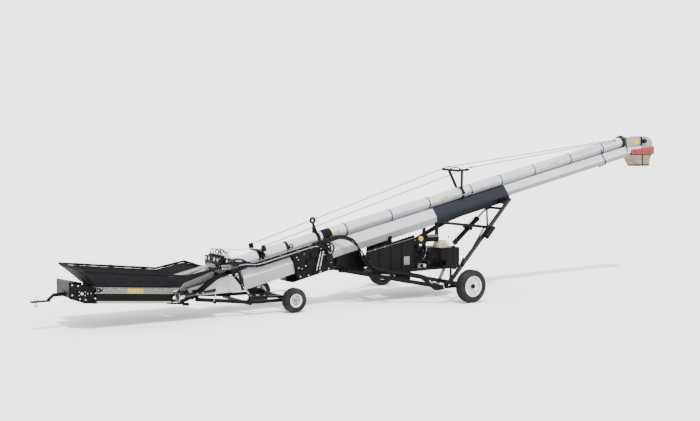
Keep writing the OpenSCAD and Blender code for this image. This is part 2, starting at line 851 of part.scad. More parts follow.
module hydraulic_tank() {
    color(black_paint) at_axle() {
        difference() {
            translate([20, -600, 641]) cube([520, 520, 408]);
            // cut-away for the rear hanger
            translate([115, -244, 630]) cube([140, 26, 430]);
        }
        translate([430, -520, 1049]) cylinder(h = 40, r = 40, $fn = 48);
        // block that takes the hoses
        translate([90, -700, 690]) cube([100, 101, 90]);
        translate([270, 80, 641]) cube([230, 360, 300]);
    }
}

// ---------------------------------------------------------------- controls, hoses and jack

module valve_bank() {
    color(black_paint) at_axle() {
        difference() {
            translate([-5190, -350, 950]) cube([20, 700, 190]);
            translate([-5200, -132, 940]) cube([40, 264, 56]);
        }
        translate([-5168, -300, 1026]) cube([150, 600, 94]);
        both_sides() translate([-5168, 150, 905]) cube([120, 20, 125]);
        for (k = [0:4]) translate([-5100, -240 + k * 120, 1120]) cylinder(h = 40, r = 20, $fn = 32);
        translate([-5060, -335, 1060]) rotate([90, 0, 0]) difference() {
            cylinder(h = 34, r = 26, center = true, $fn = 48);
            cylinder(h = 36, r = 8 + bore_gap, center = true, $fn = 48);
        }
    }
}

module valve_lever() {
    color(steel) at_axle() translate([-5060, -335, 1060]) {
        axle_pin(0, -8, 0, 8, 50);
        axle_pin(0, -26, 0, 18, 14);
        rod([0, -30, 0], [30, -40, 190], 12);
        translate([30, -40, 190]) sphere(r = 22, $fn = 32);
    }
}

// hose routes, from the axle: along the tube, over the guard and down to the tank
hose_route = [
    tube_point(-5100, -200, 160), tube_point(-4980, -205, 90), tube_point(-4860, -190, 30),
    tube_point(-4720, -177, 20), tube_point(-4600, -170, -16), tube_point(-4450, -165, -94),
    tube_point(-4300, -165, -100), tube_point(-3800, -165, -100), tube_point(-3300, -165, -100),
    tube_point(-2900, -165, -98), tube_point(-2620, -175, -80), tube_point(-2480, -230, -70),
    tube_point(-2350, -330, -130), tube_point(-2250, -440, -260), tube_point(-2200, -540, -400),
    [-1990, -640, 960], [-1880, -660, 830], [-1700, -655, 740], [-1400, -645, 670],
    [-1000, -645, 600], [-600, -645, 530], [-360, -640, 440], [-250, -640, 340],
    [-170, -640, 310], [-110, -640, 340], [-60, -640, 430], [0, -635, 530], [60, -625, 620],
    [110, -615, 700], [135, -610, 760]
];
hose_sides = 8;

function unit(v) = v / norm(v);
function tangent(path, k) = unit(path[min(k + 1, len(path) - 1)] - path[max(k - 1, 0)]);

// tube swept along a route of points, with flat ends
module sweep(path, r) {
    n = len(path);
    rings = [
        for (k = [0:n - 1]) let (
            t = tangent(path, k),
            side = unit(cross(t, [0, 0, 1])),
            up = cross(side, t)
        ) for (j = [0:hose_sides - 1]) let (a = 360 * j / hose_sides)
            path[k] + r * (side * cos(a) + up * sin(a))
    ];
    walls = [
        for (k = [0:n - 2], j = [0:hose_sides - 1]) let (i = (j + 1) % hose_sides)
            each [
                [k * hose_sides + j, k * hose_sides + i, (k + 1) * hose_sides + i],
                [k * hose_sides + j, (k + 1) * hose_sides + i, (k + 1) * hose_sides + j]
            ]
    ];
    caps = [
        [for (j = [hose_sides - 1:-1:0]) j],
        [for (j = [0:hose_sides - 1]) (n - 1) * hose_sides + j]
    ];
    polyhedron(points = rings, faces = concat(walls, caps));
}

module hoses() {
    gap = 32;
    color(rubber) at_axle() for (k = [0:2])
        sweep([for (p = hose_route) p + [0, -gap * k, -gap * 0.5 * k]], 12);
}

jack_lean = [640, 0, 51];
jack_out = unit(-jack_lean);

module jack_tube() {
    color(slate_paint) at_axle() translate(jack_mount) {
        difference() {
            union() {
                rod(jack_out * 300, -jack_out * 330, 66, 48);
                axle_pin(0, 97.5, 0, 30, 215);
                translate([296, -31, 24]) axle_pin(0, 0, 0, 20, 62);
            }
            rod(jack_out * 30, jack_out * 310, 52 + 2 * bore_gap, 48);
            axle_pin(296, -50, 24, 9 + bore_gap, 30);
        }
    }
}

module jack_leg() {
    color(steel) at_axle() translate(jack_mount) {
        rod(jack_out * 60, jack_out * 446, 52, 48);
        rod(jack_out * 440, jack_out * 452, 210, 48);
    }
}

module jack_crank() {
    color(steel) at_axle() translate(jack_mount + [296, 0, 24]) {
        axle_pin(0, -78, 0, 9, 82);
        axle_pin(0, -112, 0, 16, 14);
        rod([0, -112, 0], [-56, -112, -204], 14);
        axle_pin(-56, -152, -206, 15, 92);
    }
}

// ---------------------------------------------------------------- undercarriage

module lower_frame() {
    color(black_paint) at_axle() {
        both_sides() {
            axle_bush(lower_pivot[0], lower_pivot[1], lower_pivot[2], 46, 25 + bore_gap, 56);
            difference() {
                bar(lower_pivot + [20, 12, -4], lower_knee, 80, 56);
                axle_pin(lower_pivot[0], lower_pivot[1], lower_pivot[2], 45, 200);
            }
            bar(lower_knee - [20, 0, 0], [40, 1440, lower_knee[2]], 64, 56);
            // hinge pins of the upper arms
            translate([arm_foot[0] - 45, 1450, 340]) cube([90, 16, 100]);
            axle_pin(arm_foot[0], 1507, arm_foot[2], 20, 92);
            axle_pin(arm_foot[0], 1557, arm_foot[2], 32, 8);
            // wheel spindle
            axle_pin(0, (1460 + main_track / 2 + 90) / 2, axle_z, 32, main_track / 2 + 90 - 1460);
            axle_pin(0, 1500, axle_z, 46, 80);
        }
        translate([-38, -1460, axle_z - 38]) cube([76, 2920, 76]);
        bar([-1500, -866, 535], [-1500, 866, 535], 60, 60);
    }
}

module upper_frame() {
    low = mid(arm_foot, arm_top, 0.654);
    high = mid(arm_foot, arm_top, 0.866) + [0, 0, 40];
    along = unit(flip(arm_top) - flip(arm_foot));
    paper = flip(mid(arm_foot, arm_top, 0.6)) + [60, -70, -10];
    color(black_paint) at_axle() {
        both_sides() {
            difference() {
                union() {
                    bar(arm_foot + [27, -8, 17], arm_top, 80, 54);
                    axle_pin(arm_foot[0], arm_foot[1], arm_foot[2], 47, 58);
                }
                axle_pin(arm_foot[0], arm_foot[1], arm_foot[2], 20 + bore_gap, 200);
            }
            axle_pin(arm_top[0], arm_top[1], arm_top[2], 45, 50);
            rod(mid(arm_foot, arm_top, 0.3), low - [0, 160, 0], 34);
            bar(low - [0, 60, 0], [high[0], 110, high[2]], 46, 40);
            // ears for the cylinder's cross pins
            difference() {
                union() {
                    axle_pin(cyl_pivot[0], 86, cyl_pivot[2], 50, 20);
                    side_plate([
                        [low[0] - 30, low[2]], [low[0] + 26, low[2] + 20],
                        [cyl_pivot[0] + 42, cyl_pivot[2] + 26], [cyl_pivot[0] - 34, cyl_pivot[2] - 36]
                    ], 86, 20);
                }
                axle_pin(cyl_pivot[0], 86, cyl_pivot[2], 22 + bore_gap, 40);
            }
        }
        rod(low, flip(low), 64, 48);
        rod(high, flip(high), 60, 48);
        // closed tube for papers
        rod(paper - along * 170, paper + along * 170, 100, 48);
        for (f = [-110, 110]) rod(paper + along * f + [6, 0, 0], paper + along * f - [56, -66, -10], 26);
    }
}

module track_carriage() {
    color(black_paint) on_tube(carriage_t) both_sides() {
        for (t = [-90, 90]) axle_pin(t, 286, carriage_n - 2, 50, 30, 48);
        for (t = [-90, 90]) axle_pin(t, 312, carriage_n - 2, 16, 30);
        side_plate([[-150, -350], [150, -350], [150, -450], [60, -500], [-60, -500], [-150, -450]], 330, 12);
        axle_pin(0, 386, carriage_n, 24, 104);
        axle_pin(0, 440, carriage_n, 52, 14);
    }
}

cyl_axis = unit(cyl_anchor - cyl_pivot);

module lift_barrel() {
    color(black_paint) at_axle() difference() {
        union() {
            rod(cyl_pivot - cyl_axis * 500, cyl_pivot + cyl_axis * 300, 110, 64);
            rod(cyl_pivot + cyl_axis * 260, cyl_pivot + cyl_axis * 320, 124, 64);
            rod(cyl_pivot - cyl_axis * 520, cyl_pivot - cyl_axis * 470, 124, 64);
            axle_pin(cyl_pivot[0], 0, cyl_pivot[2], 22, 204);
        }
        rod(cyl_pivot - cyl_axis * 470, cyl_pivot + cyl_axis * 330, 90, 64);
    }
}

module lift_rod() {
    color(steel) at_axle() {
        rod(cyl_pivot - cyl_axis * 450, cyl_pivot - cyl_axis * 380, 89.9, 64);
        rod(cyl_pivot - cyl_axis * 400, cyl_anchor - cyl_axis * 20, 56, 48);
        axle_pin(cyl_anchor[0], 0, cyl_anchor[2], 44, 52);
    }
}

// ---------------------------------------------------------------- wheels

// tyre: tread, side walls and beads turned about Y
module tyre(r, w, bead_r) {
    wall = 14;
    h = w / 2;
    rotate([90, 0, 0]) rotate_extrude($fn = 96) polygon([
        [bead_r, -h * 0.74], [bead_r + 15, -h * 0.76], [bead_r + 20, -h * 0.86],
        [bead_r + 0.42 * (r - bead_r), -h],
        [r - 22, -h * 0.93], [r - 6, -h * 0.74], [r, -h * 0.45], [r, h * 0.45], [r - 6, h * 0.74],
        [r - 22, h * 0.93], [bead_r + 0.42 * (r - bead_r), h], [bead_r + 20, h * 0.86],
        [bead_r + 15, h * 0.76], [bead_r, h * 0.74],
        [bead_r, h * 0.6], [bead_r + 18, h * 0.7], [bead_r + 0.42 * (r - bead_r), h - wall],
        [r - 30, h * 0.8], [r - wall, h * 0.4], [r - wall, -h * 0.4], [r - 30, -h * 0.8],
        [bead_r + 0.42 * (r - bead_r), -h + wall], [bead_r + 18, -h * 0.7], [bead_r, -h * 0.6]
    ]);
}

// pressed steel rim with its hub; the dished face looks towards -Y
module rim(bead_r, w, bore, hub_r, holes) {
    h = w * 0.39;
    face = -h * 0.35;
    rotate([90, 0, 0]) difference() {
        union() {
            rotate_extrude($fn = 96) polygon([
                [bead_r - 14, -h], [bead_r + 14, -h - 10], [bead_r + 14, -h - 4], [bead_r, -h + 2],
                [bead_r, h - 2], [bead_r + 14, h + 4], [bead_r + 14, h + 10], [bead_r - 14, h],
                [bead_r - 18, h - 14], [bead_r - 10, 0], [bead_r - 18, -h + 14]
            ]);
            rotate_extrude($fn = 96) polygon([
                [bore, -face - 4], [hub_r + 30, -face - 4], [bead_r - 40, -face + 16],
                [bead_r - 9, -face - 10], [bead_r - 9, -face], [bead_r - 38, -face + 24],
                [hub_r + 26, -face + 4], [bore, -face + 4]
            ]);
            translate([0, 0, -40]) cylinder(h = 100, r = hub_r, $fn = 64);
        }
        translate([0, 0, -90]) cylinder(h = 220, r = bore, $fn = 64);
        for (k = [0:holes - 1]) rotate([0, 0, 360 * k / holes]) translate([(hub_r + bead_r) / 2 - 4, 0, -60])
            cylinder(h = 200, r = 13, $fn = 24);
    }
}

main_bead = 204;
mover_bead = 120;

module main_wheel_place(side) at_axle() translate([0, side * main_track / 2, axle_z]) children();
module mover_wheel_place(side) at_axle() translate([mover_x, side * mover_track / 2, mover_r]) children();

module main_rim() rim(main_bead, main_w, 32 + bore_gap, 62, 6);
module mover_rim() rim(mover_bead, mover_w, 22 + bore_gap, 48, 5);

module main_tyre_left() color(rubber) main_wheel_place(1) tyre(main_r, main_w, main_bead);
module main_tyre_right() color(rubber) main_wheel_place(-1) tyre(main_r, main_w, main_bead);
module main_rim_left() color(white_paint) main_wheel_place(1) mirror([0, 1, 0]) main_rim();
module main_rim_right() color(white_paint) main_wheel_place(-1) main_rim();
module mover_tyre_left() color(rubber) mover_wheel_place(1) tyre(mover_r, mover_w, mover_bead);
module mover_tyre_right() color(rubber) mover_wheel_place(-1) tyre(mover_r, mover_w, mover_bead);
module mover_rim_left() color(white_paint) mover_wheel_place(1) mirror([0, 1, 0]) mover_rim();
module mover_rim_right() color(white_paint) mover_wheel_place(-1) mover_rim();

// ---------------------------------------------------------------- mover

foot_ear = [[-4690, 212], [-4600, 212], [-4550, 330], [-4590, 375], [-4690, 245]];

module mover_frame() {
    axle_h = mover_r;
    color(black_paint) at_axle() {
        both_sides() {
            // front eye and side rails
            axle_pin(mover_pivot[0], 420, mover_pivot[2], 42, 40);
            difference() {
                bar([mover_pivot[0] + 10, 428, mover_pivot[2] - 2], mover_corner, 70, 50);
                axle_pin(mover_pivot[0], 420, mover_pivot[2], 40, 100);
            }
            axle_pin(mover_pivot[0], 415, mover_pivot[2], 20, 90);
            bar(mover_corner - [20, 3, 0], [mover_x + 30, 590, axle_h], 64, 50);
            bar(mover_corner + [10, -3, 96], [mover_x - 20, 590, axle_h + 60], 46, 44);
            bar(mover_corner + [20, 0, -10], mover_corner + [20, 0, 110], 44, 44);
            // wheel motor and spindle
            axle_pin(mover_x, 600, axle_h, 70, 70, 48);
            axle_pin(mover_x, (630 + mover_track / 2 + 70) / 2, axle_h, 22, mover_track / 2 + 70 - 630);
            // foot brackets of the cylinders
            for (y = [438, 482]) side_plate(foot_ear, y, 8);
        }
        bar([mover_x, -600, axle_h], [mover_x, 600, axle_h], 70, 70);
        bar([-4665, -600, 230], [-4665, 600, 230], 50, 50);
    }
}

mover_axis = unit(mover_cyl_foot - mover_cyl_top);

module mover_barrel() {
    color(black_paint) at_axle() both_sides() difference() {
        union() {
            rod(mover_cyl_top + mover_axis * 34, mover_cyl_top + mover_axis * 350, 60, 48);
            rod(mover_cyl_top, mover_cyl_top + mover_axis * 50, 40, 32);
            axle_pin(mover_cyl_top[0], mover_cyl_top[1], mover_cyl_top[2], 26, 36);
        }
        axle_pin(mover_cyl_top[0], mover_cyl_top[1], mover_cyl_top[2], 14 + bore_gap, 100);
        rod(mover_cyl_top + mover_axis * 60, mover_cyl_top + mover_axis * 360, 46, 48);
    }
}

module mover_rod() {
    reach = norm(mover_cyl_foot - mover_cyl_top);
    color(steel) at_axle() both_sides() {
        rod(mover_cyl_top + mover_axis * 230, mover_cyl_top + mover_axis * 260, 45.9, 48);
        rod(mover_cyl_top + mover_axis * 250, mover_cyl_top + mover_axis * (reach - 20), 28, 32);
        axle_pin(mover_cyl_foot[0], mover_cyl_foot[1], mover_cyl_foot[2], 26, 26);
    }
}

// ---------------------------------------------------------------- fasteners

module bolts() {
    tail_bolts = [[-8100, 820], [-7990, 800], [-8100, 640], [-7960, 560], [-7860, 640], [-7860, 540]];
    drive_bolts = [
        [-3590, -190], [-3400, -180], [-3000, -180], [-2800, -190], [-3590, -420], [-3420, -420],
        [-3590, -600], [-3400, -630], [-3100, -630], [-2900, -630], [-2780, -320]
    ];
    color(steel) {
        at_axle() both_sides() for (p = tail_bolts) hex_head(p[0], 355, p[1], 30, 10);
        on_tube() both_sides() for (p = drive_bolts) hex_head(p[0], 310, p[1], 30, 10);
        on_intake() both_sides() for (x = [bed_front + 60:180:bed_rear - 40])
            hex_head(x, bed_half + 4, bed_h - 14, 18, 8);
    }
}

conveyor_tube();
tube_bands();
tube_clamps();
head_duct();
discharge_hood();
spout_collar();
discharge_spout();
head_roller();
belt_carry_run();
belt_return_run();
return_guard_lower();
return_guard_middle();
return_guard_upper();
lift_track();
s_drive_frame();
drive_roller();
snub_roller();
drive_motor();
transition_neck();
neck_beams();
intake_channel();
intake_skirt();
tail_box();
tail_roller();
hopper_fabric();
hopper_hoop();
hitch_tongue();
hitch_pin();
truss_tower();
truss_cables();
engine_platform();
engine_block();
engine_muffler();
fuel_tank();
fuel_cap();
air_box();
hydraulic_tank();
valve_bank();
valve_lever();
hoses();
jack_tube();
jack_leg();
jack_crank();
lower_frame();
upper_frame();
track_carriage();
lift_barrel();
lift_rod();
main_tyre_left();
main_rim_left();
main_tyre_right();
main_rim_right();
mover_frame();
mover_barrel();
mover_rod();
mover_tyre_left();
mover_rim_left();
mover_tyre_right();
mover_rim_right();
bolts();
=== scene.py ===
"""Looks of the portable grain belt conveyor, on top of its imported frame.

Everything is in metres in the row frame. Three helpers give places the way the machine is
measured: axle() from the main axle, tube() along and square to the conveyor tube, and intake()
along the intake bed.
"""
import math

import bmesh
import bpy
import json
from mathutils import Matrix, Vector


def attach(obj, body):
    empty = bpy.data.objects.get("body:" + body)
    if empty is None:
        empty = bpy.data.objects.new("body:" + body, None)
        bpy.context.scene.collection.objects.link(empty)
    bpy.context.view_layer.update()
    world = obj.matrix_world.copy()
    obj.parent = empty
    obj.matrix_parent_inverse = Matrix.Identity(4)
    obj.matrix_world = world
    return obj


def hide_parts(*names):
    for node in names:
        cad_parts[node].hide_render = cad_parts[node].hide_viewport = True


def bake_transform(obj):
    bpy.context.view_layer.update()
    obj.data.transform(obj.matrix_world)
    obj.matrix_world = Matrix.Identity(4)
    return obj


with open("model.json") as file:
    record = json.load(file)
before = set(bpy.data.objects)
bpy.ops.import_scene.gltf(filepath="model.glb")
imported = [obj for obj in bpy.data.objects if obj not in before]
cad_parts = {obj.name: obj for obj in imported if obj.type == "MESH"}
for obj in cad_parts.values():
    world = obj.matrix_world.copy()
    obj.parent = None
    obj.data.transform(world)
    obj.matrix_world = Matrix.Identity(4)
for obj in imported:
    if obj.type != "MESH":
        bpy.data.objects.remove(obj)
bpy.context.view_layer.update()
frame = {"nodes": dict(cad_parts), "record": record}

AXLE_X = 0.703
SLOPE = math.radians(12.5)
TUBE_Z = 2.003
TUBE_R = 0.127
BED_SLOPE = math.radians(4.8)


def axle(x, y, z):
    return Vector((x + AXLE_X, y, z))


def tube(t, y, n):
    return Vector((
        t * math.cos(SLOPE) - n * math.sin(SLOPE) + AXLE_X,
        y,
        TUBE_Z + t * math.sin(SLOPE) + n * math.cos(SLOPE),
    ))


def intake(x, y, z):
    return Vector((
        -6.300 + AXLE_X + x * math.cos(BED_SLOPE) + z * math.sin(BED_SLOPE),
        y,
        0.351 - x * math.sin(BED_SLOPE) + z * math.cos(BED_SLOPE),
    ))


TUBE_FRAME = Matrix.Translation((AXLE_X, 0, TUBE_Z)) @ Matrix.Rotation(-SLOPE, 4, "Y")

# ---------------------------------------------------------------- camera

CAMERA_AT = (-13.1071, -18.1689, 3.2859)
CAMERA_YAW = 0.5777
CAMERA_PITCH = 0.0627
CAMERA_LENS = 52.5


def make_camera():
    data = bpy.data.cameras.new("camera")
    data.lens = CAMERA_LENS
    data.sensor_width = 36
    data.clip_end = 200
    cam = bpy.data.objects.new("camera", data)
    bpy.context.scene.collection.objects.link(cam)
    look = Vector((
        math.sin(CAMERA_YAW) * math.cos(CAMERA_PITCH),
        math.cos(CAMERA_YAW) * math.cos(CAMERA_PITCH),
        -math.sin(CAMERA_PITCH),
    ))
    cam.location = CAMERA_AT
    cam.rotation_euler = look.to_track_quat("-Z", "Y").to_euler()
    bpy.context.scene.camera = cam


make_camera()

# ---------------------------------------------------------------- materials


class Nodes:
    """Short way to build a shader: add nodes and join them."""

    def __init__(self, name):
        self.mat = bpy.data.materials.new(name)
        self.mat.use_nodes = True
        self.tree = self.mat.node_tree
        self.shader = self.tree.nodes["Principled BSDF"]
        self.coord = self.add("ShaderNodeTexCoord").outputs["Object"]

    def add(self, kind, **inputs):
        node = self.tree.nodes.new(kind)
        for key, value in inputs.items():
            socket = node.inputs[int(key[1:])] if key[0] == "i" and key[1:].isdigit() else node.inputs[key]
            if isinstance(value, bpy.types.NodeSocket):
                self.tree.links.new(value, socket)
            else:
                socket.default_value = value
        return node

    def noise(self, scale, detail=4, rough=0.55, stretch=(1, 1, 1), vector=None):
        place = self.add("ShaderNodeMapping", Vector=vector or self.coord, Scale=stretch)
        return self.add(
            "ShaderNodeTexNoise", Vector=place.outputs[0], Scale=scale, Detail=detail, Roughness=rough
        ).outputs["Fac"]

    def ramp(self, fac, low, high, first=(0, 0, 0, 1), last=(1, 1, 1, 1)):
        node = self.add("ShaderNodeValToRGB", Fac=fac)
        a, b = node.color_ramp.elements
        a.position, a.color = low, first
        b.position, b.color = high, last
        return node.outputs["Color"]

    def mix(self, fac, a, b, blend="MIX"):
        node = self.add("ShaderNodeMix")
        node.data_type = "RGBA"
        node.blend_type = blend
        factor = node.inputs[0]
        colour_a, colour_b = node.inputs[6], node.inputs[7]
        for socket, value in ((factor, fac), (colour_a, a), (colour_b, b)):
            if isinstance(value, bpy.types.NodeSocket):
                self.tree.links.new(value, socket)
            else:
                socket.default_value = value
        return node.outputs[2]

    def colour(self, value):
        self.tree.links.new(value, self.shader.inputs["Base Color"])

    def rough(self, fac, low, high):
        node = self.add("ShaderNodeMapRange", Value=fac)
        node.inputs["To Min"].default_value = low
        node.inputs["To Max"].default_value = high
        self.tree.links.new(node.outputs[0], self.shader.inputs["Roughness"])

    def bump(self, height, strength, distance):
        node = self.add("ShaderNodeBump", Height=height)
        node.inputs["Strength"].default_value = strength
        node.inputs["Distance"].default_value = distance
        self.tree.links.new(node.outputs[0], self.shader.inputs["Normal"])

    def set(self, **values):
        names = {"metal": "Metallic", "coat": "Coat Weight", "coat_rough": "Coat Roughness",
                 "sheen": "Sheen Weight", "specular": "Specular IOR Level"}
        for key, value in values.items():
            self.shader.inputs[names[key]].default_value = value


def rgba(c, k=1.0):
    return (c[0] * k, c[1] * k, c[2] * k, 1)


def paint(name, colour, rough=0.3, coat=0.4, dirt=0.25, dust=(0.42, 0.38, 0.32), under=0.0, shine=0.5):
    """Sprayed paint: cloudy tone, dust low down, painted shade on undersides, orange-peel bump."""
    m = Nodes(name)
    clouds = m.noise(1.7, 5)
    streaks = m.noise(6, 4, stretch=(0.35, 1, 2.5))
    base = m.mix(m.ramp(clouds, 0.35, 0.7), rgba(colour), rgba(colour, 0.86))
    height = m.add("ShaderNodeSeparateXYZ", Vector=m.coord).outputs["Z"]
    low = m.add("ShaderNodeMapRange", Value=height)
    low.inputs["From Min"].default_value = 0.1
    low.inputs["From Max"].default_value = 1.6
    low.inputs["To Min"].default_value = dirt
    low.inputs["To Max"].default_value = dirt * 0.25
    speck = m.ramp(streaks, 0.45, 0.75)
    amount = m.add("ShaderNodeMath", i0=low.outputs[0], i1=speck)
    amount.operation = "MULTIPLY"
    tone = m.mix(amount.outputs[0], base, rgba(dust))
    # painted shade: faces that point downwards are mixed towards a dark brown, by the amount under
    if under:
        facing = m.add("ShaderNodeSeparateXYZ", Vector=m.add("ShaderNodeNewGeometry").outputs["Normal"])
        down = m.add("ShaderNodeMapRange", Value=facing.outputs["Z"])
        down.inputs["From Min"].default_value = 0.0
        down.inputs["From Max"].default_value = -0.12
        down.inputs["To Min"].default_value = 0.0
        down.inputs["To Max"].default_value = under
        tone = m.mix(down.outputs[0], tone, rgba((0.075, 0.068, 0.06)))
    m.colour(tone)
    m.rough(streaks, rough * 0.8, rough * 1.4)
    m.bump(m.noise(420, 2), 0.06, 0.0006)
    m.set(coat=coat, coat_rough=0.18, specular=shine)
    return m.mat


def metal(name, colour, rough=0.35, grain=(1, 1, 14)):
    """Bare or plated steel with a drawn grain and dull patches."""
    m = Nodes(name)
    patches = m.noise(5, 5)
    lines = m.noise(180, 3, stretch=grain)
    tone = m.mix(m.ramp(patches, 0.35, 0.7), rgba(colour), rgba(colour, 0.72))
    m.colour(m.mix(m.ramp(lines, 0.3, 0.7), tone, rgba(colour, 0.9)))
    m.rough(lines, rough * 0.75, rough * 1.35)
    m.bump(lines, 0.12, 0.0004)
    m.set(metal=1.0)
    return m.mat


def rubber(name, colour, rough=0.75, dust_amount=0.35):
    m = Nodes(name)
    fine = m.noise(90, 4)
    patches = m.noise(4, 5)
    base = m.mix(m.ramp(fine, 0.3, 0.7), rgba(colour), rgba(colour, 1.5))
    fac = m.add("ShaderNodeMath", i0=m.ramp(patches, 0.45, 0.8), i1=dust_amount)
    fac.operation = "MULTIPLY"
    m.colour(m.mix(fac.outputs[0], base, (0.075, 0.068, 0.058, 1)))
    m.rough(patches, rough * 0.85, min(1, rough * 1.15))
    m.bump(fine, 0.25, 0.0008)
    m.set(specular=0.14)
    return m.mat


def cloth(name, colour, second, threads=420, rough=0.8, sheen=0.15):
    """Coated woven sheet: crossed threads, creases and wear."""
    m = Nodes(name)
    weave = []
    for direction in ("X", "Z"):
        wave = m.add("ShaderNodeTexWave", Vector=m.coord, Scale=threads)
        wave.bands_direction = direction
        wave.inputs["Distortion"].default_value = 0.6
        weave.append(wave.outputs["Fac"])
    cross = m.add("ShaderNodeMath", i0=weave[0], i1=weave[1])
    cross.operation = "MULTIPLY"
    creases = m.noise(7, 6, 0.65)
    tone = m.mix(m.ramp(creases, 0.35, 0.75), rgba(colour), rgba(second))
    m.colour(m.mix(m.ramp(cross.outputs[0], 0.1, 0.9), tone, rgba(colour, 0.8)))
    m.rough(creases, rough * 0.85, min(1, rough * 1.2))
    total = m.add("ShaderNodeMath", i0=creases, i1=cross.outputs[0])
    m.bump(total.outputs[0], 0.35, 0.002)
    m.set(sheen=sheen, specular=0.1)
    return m.mat


WHITE = (0.45, 0.465, 0.51)
PALE = (0.43, 0.445, 0.475)
SLATE = (0.013, 0.0155, 0.021)
BLACK = (0.0016, 0.0016, 0.0019)
SOOT = (0.03, 0.027, 0.024)

# the under= amounts set how much painted shade each paint gets on faces that point downwards
finishes = {
    "white_paint": paint("white_gloss_paint", WHITE, 0.3, 0.25, 0.15, under=0.45),
    "rim_paint": paint("white_rim_paint", (0.60, 0.60, 0.61), 0.3, 0.3, 0.3, (0.2, 0.18, 0.15)),
    "pale_guard": paint("pale_guard_paint", PALE, 0.38, 0.15, 0.3, under=0.82),
    "grey_paint": paint("grey_paint", (0.15, 0.142, 0.134), 0.45, 0.1, 0.5, (0.11, 0.09, 0.07),
        under=0.5),
    "slate_paint": paint("slate_blue_paint", SLATE, 0.5, 0.0, 0.15, (0.05, 0.05, 0.05), under=0.6,
        shine=0.12),
    "black_paint": paint("black_gloss_paint", BLACK, 0.42, 0.0, 0.08, SOOT, shine=0.1),
    "tan_paint": paint("warm_grey_paint", (0.235, 0.215, 0.19), 0.45, 0.05, 0.3, (0.18, 0.16, 0.13),
        under=0.4),
    "red_paint": paint("red_paint", (0.22, 0.007, 0.006), 0.42, 0.1, 0.1, (0.1, 0.05, 0.04), shine=0.3),
    "cream_plastic": paint("cream_moulding", (0.36, 0.325, 0.25), 0.5, 0.0, 0.5, (0.2, 0.18, 0.15)),
    "yellow_plastic": paint("yellow_moulding", (0.42, 0.30, 0.006), 0.42, 0.05, 0.1, (0.2, 0.16, 0.08)),
    "yellow_film": paint("yellow_film", (0.50, 0.35, 0.012), 0.35, 0.2, 0.1),
    "amber_film": paint("amber_film", (0.36, 0.15, 0.008), 0.35, 0.2, 0.1),
    "green_film": paint("green_film", (0.03, 0.18, 0.04), 0.35, 0.2, 0.1),
    "bright_steel": metal("zinc_plate", (0.5, 0.51, 0.53), 0.32),
    "dull_steel": metal("worn_steel", (0.2, 0.2, 0.21), 0.5),
    "grey_iron": metal("cast_motor_iron", (0.016, 0.018, 0.023), 0.6, (1, 1, 1)),
    "engine_metal": paint("engine_enamel", (0.0025, 0.0025, 0.003), 0.5, 0.0, 0.12, SOOT, shine=0.12),
    "fin_metal": metal("cooling_fin_metal", (0.2, 0.2, 0.21), 0.45, (1, 1, 1)),
    "belt_rubber": rubber("belt_rubber", (0.006, 0.006, 0.0065), 0.75),
    "dark_rubber": rubber("hose_rubber", (0.002, 0.002, 0.0024), 0.5, 0.03),
    "tyre": rubber("tyre_rubber", (0.0075, 0.0075, 0.008), 0.8, 0.35),
    "hopper_fabric": cloth("coated_hopper_cloth", (0.0028, 0.003, 0.0038), (0.0065, 0.0072, 0.009),
        sheen=0.0),
    "hopper_lining": cloth("hopper_lining", (0.0035, 0.004, 0.005), (0.009, 0.010, 0.0125), rough=0.65,
        sheen=0.0),
    "spout_canvas": cloth("tan_canvas", (0.19, 0.148, 0.103), (0.25, 0.205, 0.15), 300, 0.9, 0.1),
    "webbing": cloth("black_webbing", (0.004, 0.004, 0.004), (0.008, 0.008, 0.008), 500),
}

record = frame["record"]
node_slots = {s["node"]: s["material_slot"] for s in record["subparts"]}
special = {
    "main_rim_left": "rim_paint", "main_rim_right": "rim_paint",
    "mover_rim_left": "rim_paint", "mover_rim_right": "rim_paint",
    "truss_cables": "grey_iron",
}
for node, obj in frame["nodes"].items():
    obj.data.materials.clear()
    obj.data.materials.append(finishes[special.get(node, node_slots[node])])

# ---------------------------------------------------------------- mesh helpers


def side_name(side):
    return "near" if side < 0 else "far"


def about_y(turn):
    return Matrix.Rotation(turn, 4, "Y")


def link(name, mesh, finish, body, smooth=35):
    obj = bpy.data.objects.new(name, mesh)
    bpy.context.scene.collection.objects.link(obj)
    if not mesh.materials:
        mesh.materials.append(finishes[finish])
    if smooth:
        mesh.shade_smooth()
        mesh.set_sharp_from_angle(angle=math.radians(smooth))
    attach(obj, body)
    return obj


